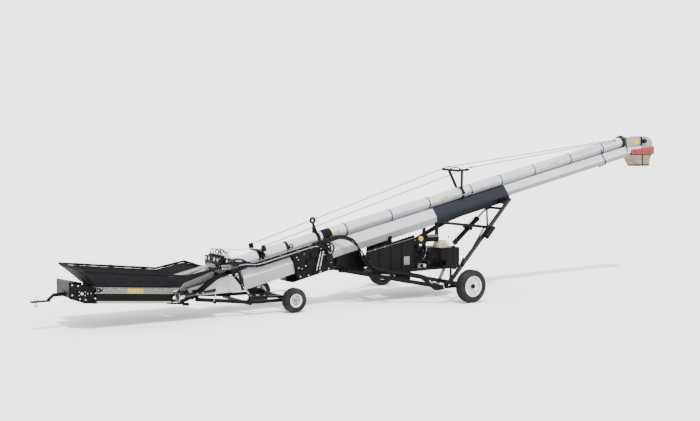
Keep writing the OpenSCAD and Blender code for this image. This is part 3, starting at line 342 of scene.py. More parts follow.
class Shape:
    """A mesh put together from simple solids."""

    def __init__(self):
        self.bm = bmesh.new()

    def block(self, centre, size, bevel=0.0, turn=None):
        made = bmesh.ops.create_cube(self.bm, size=1)["verts"]
        bmesh.ops.scale(self.bm, vec=size, verts=made)
        if bevel:
            edges = list({e for v in made for e in v.link_edges})
            found = bmesh.ops.bevel(
                self.bm, geom=edges, offset=bevel, segments=2, affect="EDGES", profile=0.6
            )
            made = list({v for f in found["faces"] for v in f.verts} | {v for v in made if v.is_valid})
        place = Matrix.Translation(centre) @ (turn or Matrix.Identity(4))
        bmesh.ops.transform(self.bm, matrix=place, verts=made)
        return self

    def rod(self, p, q, r, sides=20, r2=None):
        p, q = Vector(p), Vector(q)
        v = q - p
        place = Matrix.Translation((p + q) / 2) @ v.to_track_quat("Z", "Y").to_matrix().to_4x4()
        bmesh.ops.create_cone(
            self.bm, cap_ends=True, segments=sides, radius1=r, radius2=r if r2 is None else r2,
            depth=v.length, matrix=place,
        )
        return self

    def ball(self, at, r):
        bmesh.ops.create_uvsphere(
            self.bm, u_segments=20, v_segments=12, radius=r, matrix=Matrix.Translation(at)
        )
        return self

    def hexagon(self, p, q, across):
        return self.rod(p, q, across / 2, 6)

    def turned(self, profile, at, axis="Y", steps=64):
        """A closed outline of (radius, height) turned about an axis through at."""
        rings = []
        for k in range(steps):
            a = 2 * math.pi * k / steps
            ring = []
            for r, h in profile:
                p = {
                    "Y": (r * math.cos(a), h, r * math.sin(a)),
                    "X": (h, r * math.cos(a), r * math.sin(a)),
                    "Z": (r * math.cos(a), r * math.sin(a), h),
                }[axis]
                ring.append(self.bm.verts.new(Vector(p) + Vector(at)))
            rings.append(ring)
        n = len(profile)
        for k in range(steps):
            a, b = rings[k], rings[(k + 1) % steps]
            for j in range(n):
                i = (j + 1) % n
                self.bm.faces.new((a[j], a[i], b[i], b[j]))
        return self

    def prism(self, outline, depth, place):
        """A flat outline pushed out by depth, put in place by a matrix."""
        low = [self.bm.verts.new(place @ Vector((x, y, 0))) for x, y in outline]
        high = [self.bm.verts.new(place @ Vector((x, y, depth))) for x, y in outline]
        n = len(outline)
        self.bm.faces.new(low[::-1])
        self.bm.faces.new(high)
        for k in range(n):
            i = (k + 1) % n
            self.bm.faces.new((low[k], low[i], high[i], high[k]))
        return self

    def moved(self, matrix):
        bmesh.ops.transform(self.bm, matrix=matrix, verts=self.bm.verts)
        return self

    def done(self, name, finish, body, smooth=35, slot=None):
        bmesh.ops.recalc_face_normals(self.bm, faces=self.bm.faces)
        mesh = bpy.data.meshes.new(name)
        self.bm.to_mesh(mesh)
        self.bm.free()
        return link(name, mesh, finish, body, smooth)


def smooth_path(points, per=8):
    """Catmull-Rom curve through the points."""
    pts = [Vector(p) for p in points]
    pts = [2 * pts[0] - pts[1]] + pts + [2 * pts[-1] - pts[-2]]
    out = []
    for k in range(1, len(pts) - 2):
        a, b, c, d = pts[k - 1:k + 3]
        for j in range(per):
            t = j / per
            out.append(0.5 * (
                2 * b + (c - a) * t + (2 * a - 5 * b + 4 * c - d) * t * t
                + (3 * b - a - 3 * c + d) * t ** 3
            ))
    out.append(pts[-2])
    return out


def pipe(name, points, r, finish, body, per=8):
    """Round line of radius r along a smooth route."""
    data = bpy.data.curves.new(name, "CURVE")
    data.dimensions = "3D"
    data.bevel_depth = r
    data.bevel_resolution = 4
    data.use_fill_caps = True
    route = smooth_path(points, per)
    line = data.splines.new("POLY")
    line.points.add(len(route) - 1)
    for p, v in zip(line.points, route):
        p.co = (*v, 1)
    data.materials.append(finishes[finish])
    obj = bpy.data.objects.new(name, data)
    bpy.context.scene.collection.objects.link(obj)
    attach(obj, body)
    return obj


# ---------------------------------------------------------------- long hoses

HOSE_R = 0.012
HOSE_ROUTE = [
    tube(-5.100, -0.200, 0.160), tube(-4.980, -0.205, 0.090), tube(-4.860, -0.190, 0.030),
    tube(-4.720, -0.177, 0.020), tube(-4.600, -0.170, -0.016), tube(-4.450, -0.165, -0.094),
    tube(-4.300, -0.165, -0.100), tube(-3.800, -0.165, -0.100), tube(-3.300, -0.165, -0.100),
    tube(-2.900, -0.165, -0.098), tube(-2.620, -0.175, -0.080), tube(-2.480, -0.230, -0.070),
    tube(-2.350, -0.330, -0.130), tube(-2.250, -0.440, -0.260), tube(-2.200, -0.540, -0.400),
    axle(-1.990, -0.640, 0.960), axle(-1.880, -0.660, 0.830), axle(-1.700, -0.655, 0.740),
    axle(-1.400, -0.645, 0.670), axle(-1.000, -0.645, 0.600), axle(-0.600, -0.645, 0.530),
    axle(-0.360, -0.640, 0.440), axle(-0.250, -0.640, 0.340), axle(-0.170, -0.640, 0.310),
    axle(-0.110, -0.640, 0.340), axle(-0.060, -0.640, 0.430), axle(0.000, -0.635, 0.530),
    axle(0.060, -0.625, 0.620), axle(0.110, -0.615, 0.700), axle(0.135, -0.610, 0.760),
]
HOSE_GAP = 0.032


def make_hoses():
    for k in range(3):
        shift = Vector((0, -HOSE_GAP * k, -HOSE_GAP * 0.5 * k))
        points = [p + shift for p in HOSE_ROUTE]
        hose = pipe(f"long_hose_{k + 1}", points, HOSE_R, "dark_rubber", "conveyor", 5)
    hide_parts("hoses")


make_hoses()

# ---------------------------------------------------------------- tyres and wheels


def tyre_mesh(name, r, w, bead, blocks, body, replaced, centre):
    """Road tyre: rounded side walls, four grooves and a ring of shoulder blocks."""
    half = w / 2
    wall = r - bead
    side = [
        (bead, 0.74), (bead + 0.015, 0.76), (bead + 0.02, 0.86), (bead + 0.22 * wall, 0.95),
        (bead + 0.42 * wall, 1.0), (bead + 0.60 * wall, 0.985), (bead + 0.74 * wall, 0.95),
    ]
    tread = [
        (r - 0.020, 0.92), (r - 0.010, 0.86), (r - 0.005, 0.76), (r - 0.002, 0.60),
        (r - 0.002, 0.55), (r - 0.011, 0.53), (r - 0.011, 0.47), (r - 0.001, 0.45),
        (r, 0.30), (r, 0.20), (r - 0.010, 0.18), (r - 0.010, 0.12), (r, 0.10), (r, 0.0),
    ]
    outer = side + tread
    outline = [(a, -b * half) for a, b in outer] + [(a, b * half) for a, b in reversed(outer[:-1])]
    inner = [(bead, 0.6), (bead + 0.018, 0.7), (bead + 0.42 * wall, 0.86), (r - 0.03, 0.8),
        (r - 0.016, 0.4)]
    outline += [(a, b * half) for a, b in inner] + [(a, -b * half) for a, b in reversed(inner)]
    steps = blocks * 6
    bm = bmesh.new()
    rings = []
    for k in range(steps):
        ring = []
        for a, h in outline:
            share = abs(h) / half
            # cuts across the shoulder blocks and short sipes in the middle ribs
            phase = (k + (3 if h > 0 else 0)) % 6
            cut = 0.0
            if a > r - 0.012 and share > 0.5 and phase in (0, 1):
                cut = 0.009
            elif a > r - 0.004 and share < 0.5 and phase in (3,):
                cut = 0.006
            # a worn, slightly uneven side wall
            lift = 0.0
            if bead + 0.3 * wall < a < bead + 0.66 * wall:
                lift = 0.0012 * math.sin(k * 0.5)
            t = 2 * math.pi * k / steps
            rr = a - cut
            hh = h * (1 + lift / half)
            ring.append(bm.verts.new((rr * math.cos(t), hh, rr * math.sin(t))))
        rings.append(ring)
    n = len(outline)
    for k in range(steps):
        p, q = rings[k], rings[(k + 1) % steps]
        for j in range(n):
            i = (j + 1) % n
            bm.faces.new((p[j], p[i], q[i], q[j]))
    bmesh.ops.translate(bm, vec=centre, verts=bm.verts)
    bmesh.ops.recalc_face_normals(bm, faces=bm.faces)
    mesh = bpy.data.meshes.new(name)
    bm.to_mesh(mesh)
    bm.free()
    obj = link(name, mesh, "tyre", body, 30)
    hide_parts(replaced)
    return obj


def wheel_trim(name, centre, side, bead, hub_r, nuts, body, cap):
    """Hub cap, wheel nuts on their ring and a valve stem, on the outward side."""
    s = side
    c = Vector(centre)
    face = 0.052
    hub = Shape()
    hub.turned([
        (0.001, face * s), (hub_r * 0.55, face * s), (hub_r * 0.62, (face + 0.004) * s),
        (hub_r * 0.62, (face + 0.030) * s), (hub_r * 0.52, (face + 0.042) * s),
        (0.001, (face + 0.045) * s),
    ], c, "Y", 40)
    hub.done(f"{name}_cap", cap, body)
    ring = Shape()
    for k in range(nuts):
        a = 2 * math.pi * (k + 0.5) / nuts
        at = c + Vector((math.cos(a), 0, math.sin(a))) * hub_r * 0.88
        lift = Vector((0, s, 0))
        ring.rod(at + lift * 0.035, at + lift * 0.052, 0.014, 20)
        ring.hexagon(at + lift * 0.050, at + lift * 0.068, 0.022)
        ring.rod(at + lift * 0.066, at + lift * 0.078, 0.006, 12)
    ring.done(f"{name}_nuts", "bright_steel", body)
    stem = Shape()
    at = c + Vector((math.cos(1.2), 0, math.sin(1.2))) * (bead - 0.03)
    stem.rod(at + Vector((0, s * 0.03, 0)), at + Vector((0, s * 0.075, 0)), 0.0055, 12)
    stem.rod(at + Vector((0, s * 0.070, 0)), at + Vector((0, s * 0.084, 0)), 0.0042, 12)
    stem.done(f"{name}_valve", "dark_rubber", body)


WHEELS = [
    ("main_left", (AXLE_X, 1.650, 0.349), 1, 0.349, 0.206, 0.204, 38, 0.078, 6),
    ("main_right", (AXLE_X, -1.650, 0.349), -1, 0.349, 0.206, 0.204, 38, 0.078, 6),
    ("mover_left", (-3.773 + AXLE_X, 0.743, 0.246), 1, 0.246, 0.200, 0.120, 26, 0.058, 5),
    ("mover_right", (-3.773 + AXLE_X, -0.743, 0.246), -1, 0.246, 0.200, 0.120, 26, 0.058, 5),
]
for label, centre, side, r, w, bead, blocks, hub_r, nuts in WHEELS:
    kind, hand = label.split("_")
    tyre_mesh(
        f"{kind}_treaded_tyre_{hand}", r, w, bead, blocks, f"{kind}_wheel_{hand}",
        f"{kind}_tyre_{hand}", centre,
    )
    wheel_trim(
        f"{kind}_hub_{hand}", centre, side, bead, hub_r, nuts, f"{kind}_wheel_{hand}",
        "black_paint" if kind == "main" else "dull_steel",
    )

# ---------------------------------------------------------------- hopper

RIM = [(-7.985, 0.750, 1.072), (-6.060, 0.750, 0.853), (-5.451, 0.750, 0.958), (-5.343, 0.200, 0.900)]
FOOT = [(-7.690, 0.405, 0.765), (-6.050, 0.405, 0.624), (-5.850, 0.152, 0.700), (-5.360, 0.152, 0.850)]
LIP = [(-7.600, 0.200, 0.736), (-6.070, 0.200, 0.604), (-5.850, 0.152, 0.675), (-5.360, 0.152, 0.825)]


def around(points):
    """The corners round the whole hopper, from the left end to the right end."""
    left = [axle(x, y, z) for x, y, z in reversed(points)]
    right = [axle(x, -y, z) for x, y, z in points]
    return left + right


def along(corners, shares):
    """Points on the corner-to-corner line, at shares counted in corners."""
    out = []
    for s in shares:
        k = min(int(s), len(corners) - 2)
        out.append(corners[k].lerp(corners[k + 1], s - k))
    return out


HOPPER_COLUMNS = [14, 14, 30, 26, 30, 14, 14]
WALL_ROWS = 16
# raise of the short side panels over the head of the swung jack, enough while the hoop is up
SIDE_RAISE = 0.048


def hopper_rows():
    shares = []
    for k, count in enumerate(HOPPER_COLUMNS):
        shares += [k + j / count for j in range(count)]
    shares.append(7.0)
    rim, foot, lip = (along(around(p), shares) for p in (RIM, FOOT, LIP))
    rows = []
    for j in range(WALL_ROWS + 1):
        f = j / WALL_ROWS
        row = []
        for k, (a, b) in enumerate(zip(rim, foot)):
            p = a.lerp(b, f)
            s = shares[k]
            # the sheet bellies a little between hoop and bed, most in the middle of each panel
            panel = math.sin(math.pi * (s % 1.0)) if 0 < s % 1.0 < 1 else 0
            front = 0.045 if 3.0 <= s <= 4.0 else 0.0
            belly = math.sin(math.pi * f) * (0.014 + (0.020 + front) * panel)
            side_panel = 1.0 <= s <= 2.0 or 5.0 <= s <= 6.0
            tight = SIDE_RAISE * math.sin(math.pi * f) * panel if side_panel else 0.0
            fold = 0.006 * math.sin(math.pi * f) * math.sin(s * 21.0)
            middle = Vector((p.x, 0, p.z))
            inward = (middle - p)
            if 3.0 <= s <= 4.0:
                inward = Vector((1, 0, 0.3))
            inward = inward.normalized() if inward.length > 1e-6 else Vector((0, 0, 1))
            row.append(p + inward * (belly + fold) + Vector((0, 0, tight - belly * 0.25)))
        rows.append(row)
    for j in range(1, 5):
        f = j / 4
        rows.append([a.lerp(b, f) for a, b in zip(foot, lip)])
    return rows


def make_hopper():
    rows = hopper_rows()
    bm = bmesh.new()
    grid = [[bm.verts.new(p + Vector((0, 0, 0.004))) for p in row] for row in rows]
    for a, b in zip(grid, grid[1:]):
        for k in range(len(a) - 1):
            bm.faces.new((a[k], a[k + 1], b[k + 1], b[k]))
    area = sum(f.calc_area() for f in bm.faces)
    bm.normal_update()
    mesh = bpy.data.meshes.new("hopper_cloth")
    bm.to_mesh(mesh)
    bm.free()
    mesh.materials.append(finishes["hopper_fabric"])
    mesh.materials.append(finishes["hopper_lining"])
    mesh.shade_smooth()
    obj = bpy.data.objects.new("hopper_cloth", mesh)
    bpy.context.scene.collection.objects.link(obj)
    thick = obj.modifiers.new("thickness", "SOLIDIFY")
    thick.thickness = 0.005
    thick.offset = 0
    thick.material_offset = 1
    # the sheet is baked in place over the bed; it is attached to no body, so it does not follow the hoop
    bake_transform(obj)
    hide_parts("hopper_fabric")


make_hopper()


def make_sleeve():
    """The sleeve that holds the sheet on its hoop."""
    left = [axle(x, y + 0.012, z + 0.028) for x, y, z in reversed(RIM)]
    right = [axle(x, -y - 0.012, z + 0.028) for x, y, z in RIM]
    loop = left + right
    sleeve = []
    for a, b in zip(loop, loop[1:]):
        count = max(3, int((b - a).length / 0.06))
        sleeve += [a.lerp(b, j / count) for j in range(count)]
    sleeve.append(loop[-1])
    data = bpy.data.curves.new("hopper_sleeve", "CURVE")
    data.dimensions = "3D"
    data.bevel_depth = 0.021
    data.bevel_resolution = 5
    data.use_fill_caps = True
    line = data.splines.new("POLY")
    line.points.add(len(sleeve) - 1)
    for k, (p, v) in enumerate(zip(line.points, sleeve)):
        p.co = (*v, 1)
        p.radius = 1.0 + 0.08 * math.sin(k * 1.7) + 0.05 * math.sin(k * 0.6)
    data.materials.append(finishes["hopper_fabric"])
    obj = bpy.data.objects.new("hopper_sleeve", data)
    bpy.context.scene.collection.objects.link(obj)
    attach(obj, "hopper_hoop")


make_sleeve()


# ---------------------------------------------------------------- spout

SPOUT_TOP = (6.484, 7.306, 0.212, 3.088)
SPOUT_LOW = (6.742, 7.244, 0.150, 2.780)


def rounded(x0, x1, half, z, count=96):
    """Points round a rectangle with rounded corners."""
    cx, hx = (x0 + x1) / 2, (x1 - x0) / 2
    out = []
    for k in range(count):
        a = 2 * math.pi * k / count
        c, s = math.cos(a), math.sin(a)
        power = 0.28
        px = math.copysign(abs(c) ** power, c)
        py = math.copysign(abs(s) ** power, s)
        out.append(axle(cx + hx * px, half * py, z))
    return out


def make_spout():
    """Canvas drop spout: hangs in loose folds from the red collar and is drawn in a little partway down.
    """
    rows = []
    levels = 22
    for j in range(levels + 1):
        f = j / levels
        x0 = SPOUT_TOP[0] + (SPOUT_LOW[0] - SPOUT_TOP[0]) * f
        x1 = SPOUT_TOP[1] + (SPOUT_LOW[1] - SPOUT_TOP[1]) * f
        half = SPOUT_TOP[2] + (SPOUT_LOW[2] - SPOUT_TOP[2]) * f
        z = SPOUT_TOP[3] + (SPOUT_LOW[3] - SPOUT_TOP[3]) * f
        pinch = 0.018 * math.exp(-((f - 0.45) / 0.09) ** 2)
        ring = rounded(x0, x1, half, z + 0.006 * (1 - f))
        middle = axle((x0 + x1) / 2, 0, z)
        out = []
        for k, p in enumerate(ring):
            a = 2 * math.pi * k / len(ring)
            fold = (0.004 + 0.013 * f) * math.sin(9 * a + 1.6 * math.sin(3 * a)) * min(1, f * 4)
            inward = (middle - p).normalized()
            out.append(p + inward * (0.012 * min(1, f * 5) + fold + pinch))
        rows.append(out)
    bm = bmesh.new()
    grid = [[bm.verts.new(p) for p in row] for row in rows]
    for a, b in zip(grid, grid[1:]):
        n = len(a)
        for k in range(n):
            i = (k + 1) % n
            bm.faces.new((a[k], b[k], b[i], a[i]))
    area = sum(f.calc_area() for f in bm.faces)
    mesh = bpy.data.meshes.new("spout_canvas")
    bm.to_mesh(mesh)
    bm.free()
    obj = link("canvas_spout", mesh, "spout_canvas", "conveyor", 60)
    thick = obj.modifiers.new("thickness", "SOLIDIFY")
    thick.thickness = 0.005
    thick.offset = 0
    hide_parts("discharge_spout")
    # hems sewn round the upper and lower edge, and the upright straps between them
    for label, level, height in (("upper", 1, 0.012), ("lower", 20, 0.016)):
        bm = bmesh.new()
        ring = []
        for p in rows[level]:
            out = p + (p - axle(6.93, 0, p.z)).normalized() * 0.006
            ring.append((bm.verts.new(out + Vector((0, 0, height))),
                bm.verts.new(out - Vector((0, 0, height)))))
        for k in range(len(ring)):
            a, b = ring[k], ring[(k + 1) % len(ring)]
            bm.faces.new((a[0], b[0], b[1], a[1]))
        mesh = bpy.data.meshes.new("spout_hem")
        bm.to_mesh(mesh)
        bm.free()
        hem = link(f"spout_hem_{label}", mesh, "webbing", "conveyor", 60)
        thick = hem.modifiers.new("thickness", "SOLIDIFY")
        thick.thickness = 0.004
    straps = Shape()
    for k in (24, 72):
        line = [row[k] + Vector((0, 0.010 if k == 24 else -0.010, 0)) for row in rows[1:21]]
        for a, b in zip(line, line[1:]):
            straps.block((a + b) / 2, (0.030, 0.006, (b - a).length + 0.004), 0.0)
    straps.done("spout_straps", "webbing", "conveyor", slot="hopper_fabric")
    return obj


make_spout()

# ---------------------------------------------------------------- tube fittings

THIN_BANDS = (-2.170, -0.976, 0.086, 1.322, 2.252, 3.317, 4.539, 5.681)
WIDE_BANDS = ((-4.254, 0.150), (-3.641, 0.060), (-2.883, 0.080), (-2.665, 0.230), (1.057, 0.070))


def band_fittings():
    """Clamp ears and bolts of the bands round the tube, and the rope eye."""
    ears = Shape()
    bolts = Shape()
    for t in THIN_BANDS:
        for side in (-1, 1):
            a = Vector((t, side * 0.128, -0.052))
            ears.block(a, (0.022, 0.016, 0.030), 0.003)
            bolts.rod(a + Vector((0, side * 0.004, 0.020)), a + Vector((0, side * 0.004, -0.030)),
                0.004, 12)
            bolts.hexagon(a + Vector((0, side * 0.004, 0.016)), a + Vector((0, side * 0.004, 0.025)),
                0.014)
    for t, w in WIDE_BANDS:
        for side in (-1, 1):
            for shift in (-0.3, 0.3):
                a = Vector((t + w * shift, side * 0.1345, -0.040))
                bolts.hexagon(a, a + Vector((0, side * 0.010, -0.002)), 0.020)
                bolts.rod(a, a + Vector((0, side * 0.003, -0.001)), 0.016, 18)
    ears.moved(TUBE_FRAME).done("band_ears", "black_paint", "conveyor")
    eye = Shape()
    t = WIDE_BANDS[2][0]
    eye.turned([(0.031, -0.017), (0.070, -0.017), (0.074, -0.008), (0.074, 0.008), (0.070, 0.017),
        (0.031, 0.017)],
               (t, 0, TUBE_R + 0.255), "Y", 48)
    eye.rod((t, 0, TUBE_R), (t, 0, TUBE_R + 0.195), 0.050, 28, 0.024)
    for side in (-1, 1):
        eye.rod((t, side * 0.106, 0.085), (t, side * 0.012, 0.300), 0.017, 16)
        eye.block((t, side * 0.118, 0.070), (0.060, 0.030, 0.060), 0.006)
    eye.moved(TUBE_FRAME).done("rope_eye", "black_paint", "conveyor")
    bolts.moved(TUBE_FRAME).done("band_bolts", "bright_steel", "conveyor")


def tube_seams():
    """Raised weld seams where the lengths of tube join, and the guard's folded edge with its bolts."""
    seams = Shape()
    for t in (-1.6, 1.65, 4.9):
        seams.turned(
            [(TUBE_R - 0.001, t - 0.004), (TUBE_R + 0.0016, t), (TUBE_R - 0.001, t + 0.004)],
            (0, 0, 0), "X", 72,
        )
    seams.moved(TUBE_FRAME).done("tube_weld_seams", "white_paint", "conveyor")
    bolts = Shape()
    for start, end, half, n, low_half, low_n in (
        (-4.7, -3.7, 0.225, -0.305, 0.212, -0.525), (-2.6, 0.05, 0.225, -0.325, 0.212, -0.475),
        (2.4, 6.4, 0.200, -0.285, 0.190, -0.378),
    ):
        steps = int((end - start) / 0.42)
        for k in range(steps + 1):
            t = start + (end - start) * k / steps
            for side in (-1, 1):
                y = side * (half + low_half) / 2
                a = Vector((t, y, (n + low_n) / 2))
                bolts.hexagon(a, a + Vector((0, side * 0.009, 0)), 0.016)
    bolts.moved(TUBE_FRAME).done("guard_bolts", "bright_steel", "conveyor")
    joints = Shape()
    for t, half, n, low_half, low_n, top_half, top in (
        (-1.20, 0.226, -0.325, 0.213, -0.476, 0.119, -0.133),
        (3.60, 0.201, -0.285, 0.191, -0.379, 0.113, -0.133),
        (5.00, 0.201, -0.285, 0.191, -0.379, 0.113, -0.133),
    ):
        for side in (-1, 1):
            line = [(top_half, top), (half, n), (low_half, low_n)]
            for (a, b), (c, d) in zip(line, line[1:]):
                p = Vector((t, side * a, b))
                q = Vector((t, side * c, d))
                joints.rod(p, q, 0.0035, 8)
    joints.moved(TUBE_FRAME).done("guard_joints", "pale_guard", "conveyor")


def steel_lines():
    """Rigid hydraulic lines clipped beside the tube, from the controls to the belt drive."""
    for k, (y, n) in enumerate(((-0.150, -0.062), (-0.262, -0.100))):
        route = [
            tube(-4.86, y, n + 0.075 + 0.02 * k), tube(-4.72, y, n + 0.06 + 0.02 * k),
            tube(-4.55, y, n + 0.03),
            tube(-4.40, y, n), tube(-3.9, y, n), tube(-3.4, y, n), tube(-3.15, y, n),
            tube(-3.02, y - 0.03, n - 0.03), tube(-2.96, y - 0.055, n - 0.10),
            tube(-2.94, y - 0.06, n - 0.17),
        ]
        pipe(f"steel_line_{k + 1}", route, 0.0075, "bright_steel", "conveyor", 6)
    for k, (y, n) in enumerate(((-0.156, -0.086), (-0.178, -0.122), (-0.218, -0.112),
        (-0.250, -0.146))):
        route = [
            tube(-4.95, y * 0.8, n + 0.17), tube(-4.80, y, n + 0.12), tube(-4.62, y, n + 0.05),
            tube(-4.42, y, n), tube(-3.9, y, n), tube(-3.4, y, n), tube(-3.15, y - 0.01, n),
            tube(-3.02, y - 0.06, n + 0.01), tube(-2.94, y - 0.12, n - 0.02),
            tube(-2.89, y - 0.15, n - 0.10),
            tube(-2.885, -0.385, -0.310),
        ]
        pipe(f"guard_hose_{k + 1}", route, 0.013, "dark_rubber", "conveyor", 6)
    clips = Shape()
    for t in (-4.30, -3.90, -3.50, -3.20):
        clips.block((t, -0.205, -0.118), (0.030, 0.160, 0.008), 0.002)
        clips.block((t, -0.205, -0.075), (0.024, 0.150, 0.006), 0.002)
        for y in (-0.14, -0.21, -0.275):
            clips.hexagon((t, y, -0.122), (t, y, -0.066), 0.012)
    clips.moved(TUBE_FRAME).done("line_clips", "dull_steel", "conveyor")


def cable_fittings():
    """Turnbuckles, thimbles and grips at the ends of the truss cables."""
    steel = Shape()
    for side in (-1, 1):
        low = tube(-4.254, side * 0.270, 0.222)
        tip = axle(1.030 - 0.036, side * 0.410, 2.795 + 0.026)
        high_tip = axle(1.030 + 0.036, side * 0.410, 2.795 + 0.026)
        high = tube(6.130, side * 0.100, 0.100)
        for a, b in ((low, tip), (high, high_tip)):
            v = (b - a).normalized()
            steel.rod(a + v * 0.03, a + v * 0.09, 0.009, 16)
            steel.rod(a + v * 0.10, a + v * 0.34, 0.013, 8)
            steel.hexagon(a + v * 0.09, a + v * 0.115, 0.030)
            steel.hexagon(a + v * 0.325, a + v * 0.35, 0.030)
            for grip in (0.42, 0.50, 0.58):
                steel.rod(a + v * grip, a + v * (grip + 0.022), 0.0135, 12)
    steel.done("cable_turnbuckles", "bright_steel", "conveyor")


# ---------------------------------------------------------------- belt drive


def belt_drive():
    """Turnbuckles, covers, blocks and fasteners on the near and far faces of the S-drive box."""
    steel = Shape()
    dark = Shape()
    for side in (-1, 1):
        y = side * 0.335
        for top, low in (((-3.010, -0.20), (-3.215, -0.60)), ((-2.945, -0.20), (-3.140, -0.60))):
            a, b = Vector((top[0], y, top[1])), Vector((low[0], y, low[1]))
            steel.rod(a, b, 0.008, 16)
            steel.rod(a.lerp(b, 0.25), a.lerp(b, 0.70), 0.015, 8)
            steel.hexagon(a.lerp(b, 0.22), a.lerp(b, 0.27), 0.034)
            steel.hexagon(a.lerp(b, 0.69), a.lerp(b, 0.74), 0.034)
            dark.block(a, (0.05, 0.035, 0.04), 0.004)
            dark.block(b, (0.05, 0.035, 0.04), 0.004)
        steel.block((-2.925, y - side * 0.004, -0.330), (0.085, 0.040, 0.060), 0.006)
        steel.block((-2.860, y - side * 0.004, -0.300), (0.050, 0.036, 0.075), 0.006)
        dark.block((-3.300, y - side * 0.012, -0.400), (0.190, 0.024, 0.150), 0.008)
        dark.block((-3.480, y - side * 0.014, -0.520), (0.190, 0.016, 0.060), 0.004)
        dark.turned([
            (0.001, 0.0), (0.058, 0.0), (0.064, 0.006), (0.064, 0.022), (0.05, 0.030), (0.001, 0.032),
        ], (-3.200, y - side * 0.012 - (0.016 if side < 0 else 0.0), -0.255), "Y", 40)
        for t, n in ((-3.560, -0.250), (-3.520, -0.455), (-2.820, -0.520), (-3.340, -0.455),
            (-3.120, -0.640)):
            steel.hexagon((t, side * 0.305, n), (t, side * 0.318, n), 0.020)
        for t, n in (
            (-3.60, -0.18), (-3.60, -0.34), (-3.60, -0.50), (-3.45, -0.62), (-3.05, -0.62),
            (-2.78, -0.30),
            (-2.78, -0.46), (-3.30, -0.62), (-3.40, -0.18), (-3.30, -0.18), (-2.90, -0.60),
        ):
            dark.hexagon((t, side * 0.305, n), (t, side * 0.316, n), 0.024)
            dark.rod((t, side * 0.305, n), (t, side * 0.308, n), 0.018, 18)
    # belt lug seen below the drive box
    dark.block((-2.760, 0, -0.600), (0.120, 0.300, 0.040), 0.006)
    dark.rod((-2.720, -0.33, -0.625), (-2.720, 0.33, -0.625), 0.034, 28)
    steel.moved(TUBE_FRAME).done("drive_turnbuckles", "bright_steel", "conveyor")
    dark.moved(TUBE_FRAME).done("drive_brackets", "black_paint", "conveyor")
    cover = Shape()
    cover.turned([
        (0.001, -0.431), (0.040, -0.431), (0.056, -0.426), (0.062, -0.412), (0.066, -0.360),
        (0.102, -0.359), (0.108, -0.352), (0.108, -0.340), (0.001, -0.340),
    ], (-2.900, 0, -0.405), "Y", 56)
    cover.moved(TUBE_FRAME).done("motor_cover", "grey_iron", "conveyor")
    for k, (dy, dn) in enumerate(((-0.02, 0.03), (-0.05, -0.01), (-0.08, 0.02))):
        route = [
            tube(-2.900, -0.425, -0.390 + dn), tube(-2.870, -0.455, -0.330),
            tube(-2.800, -0.455 + dy / 2, -0.240),
            tube(-2.760, -0.400 + dy / 2, -0.150), tube(-2.820, -0.300, -0.085 + dn / 2),
            tube(-2.950, -0.225, -0.060),
            tube(-3.100, -0.170, -0.055 + dn / 4),
        ]
        pipe(f"drive_hose_{k + 1}", route, 0.010, "dark_rubber", "conveyor", 8)


# ---------------------------------------------------------------- controls


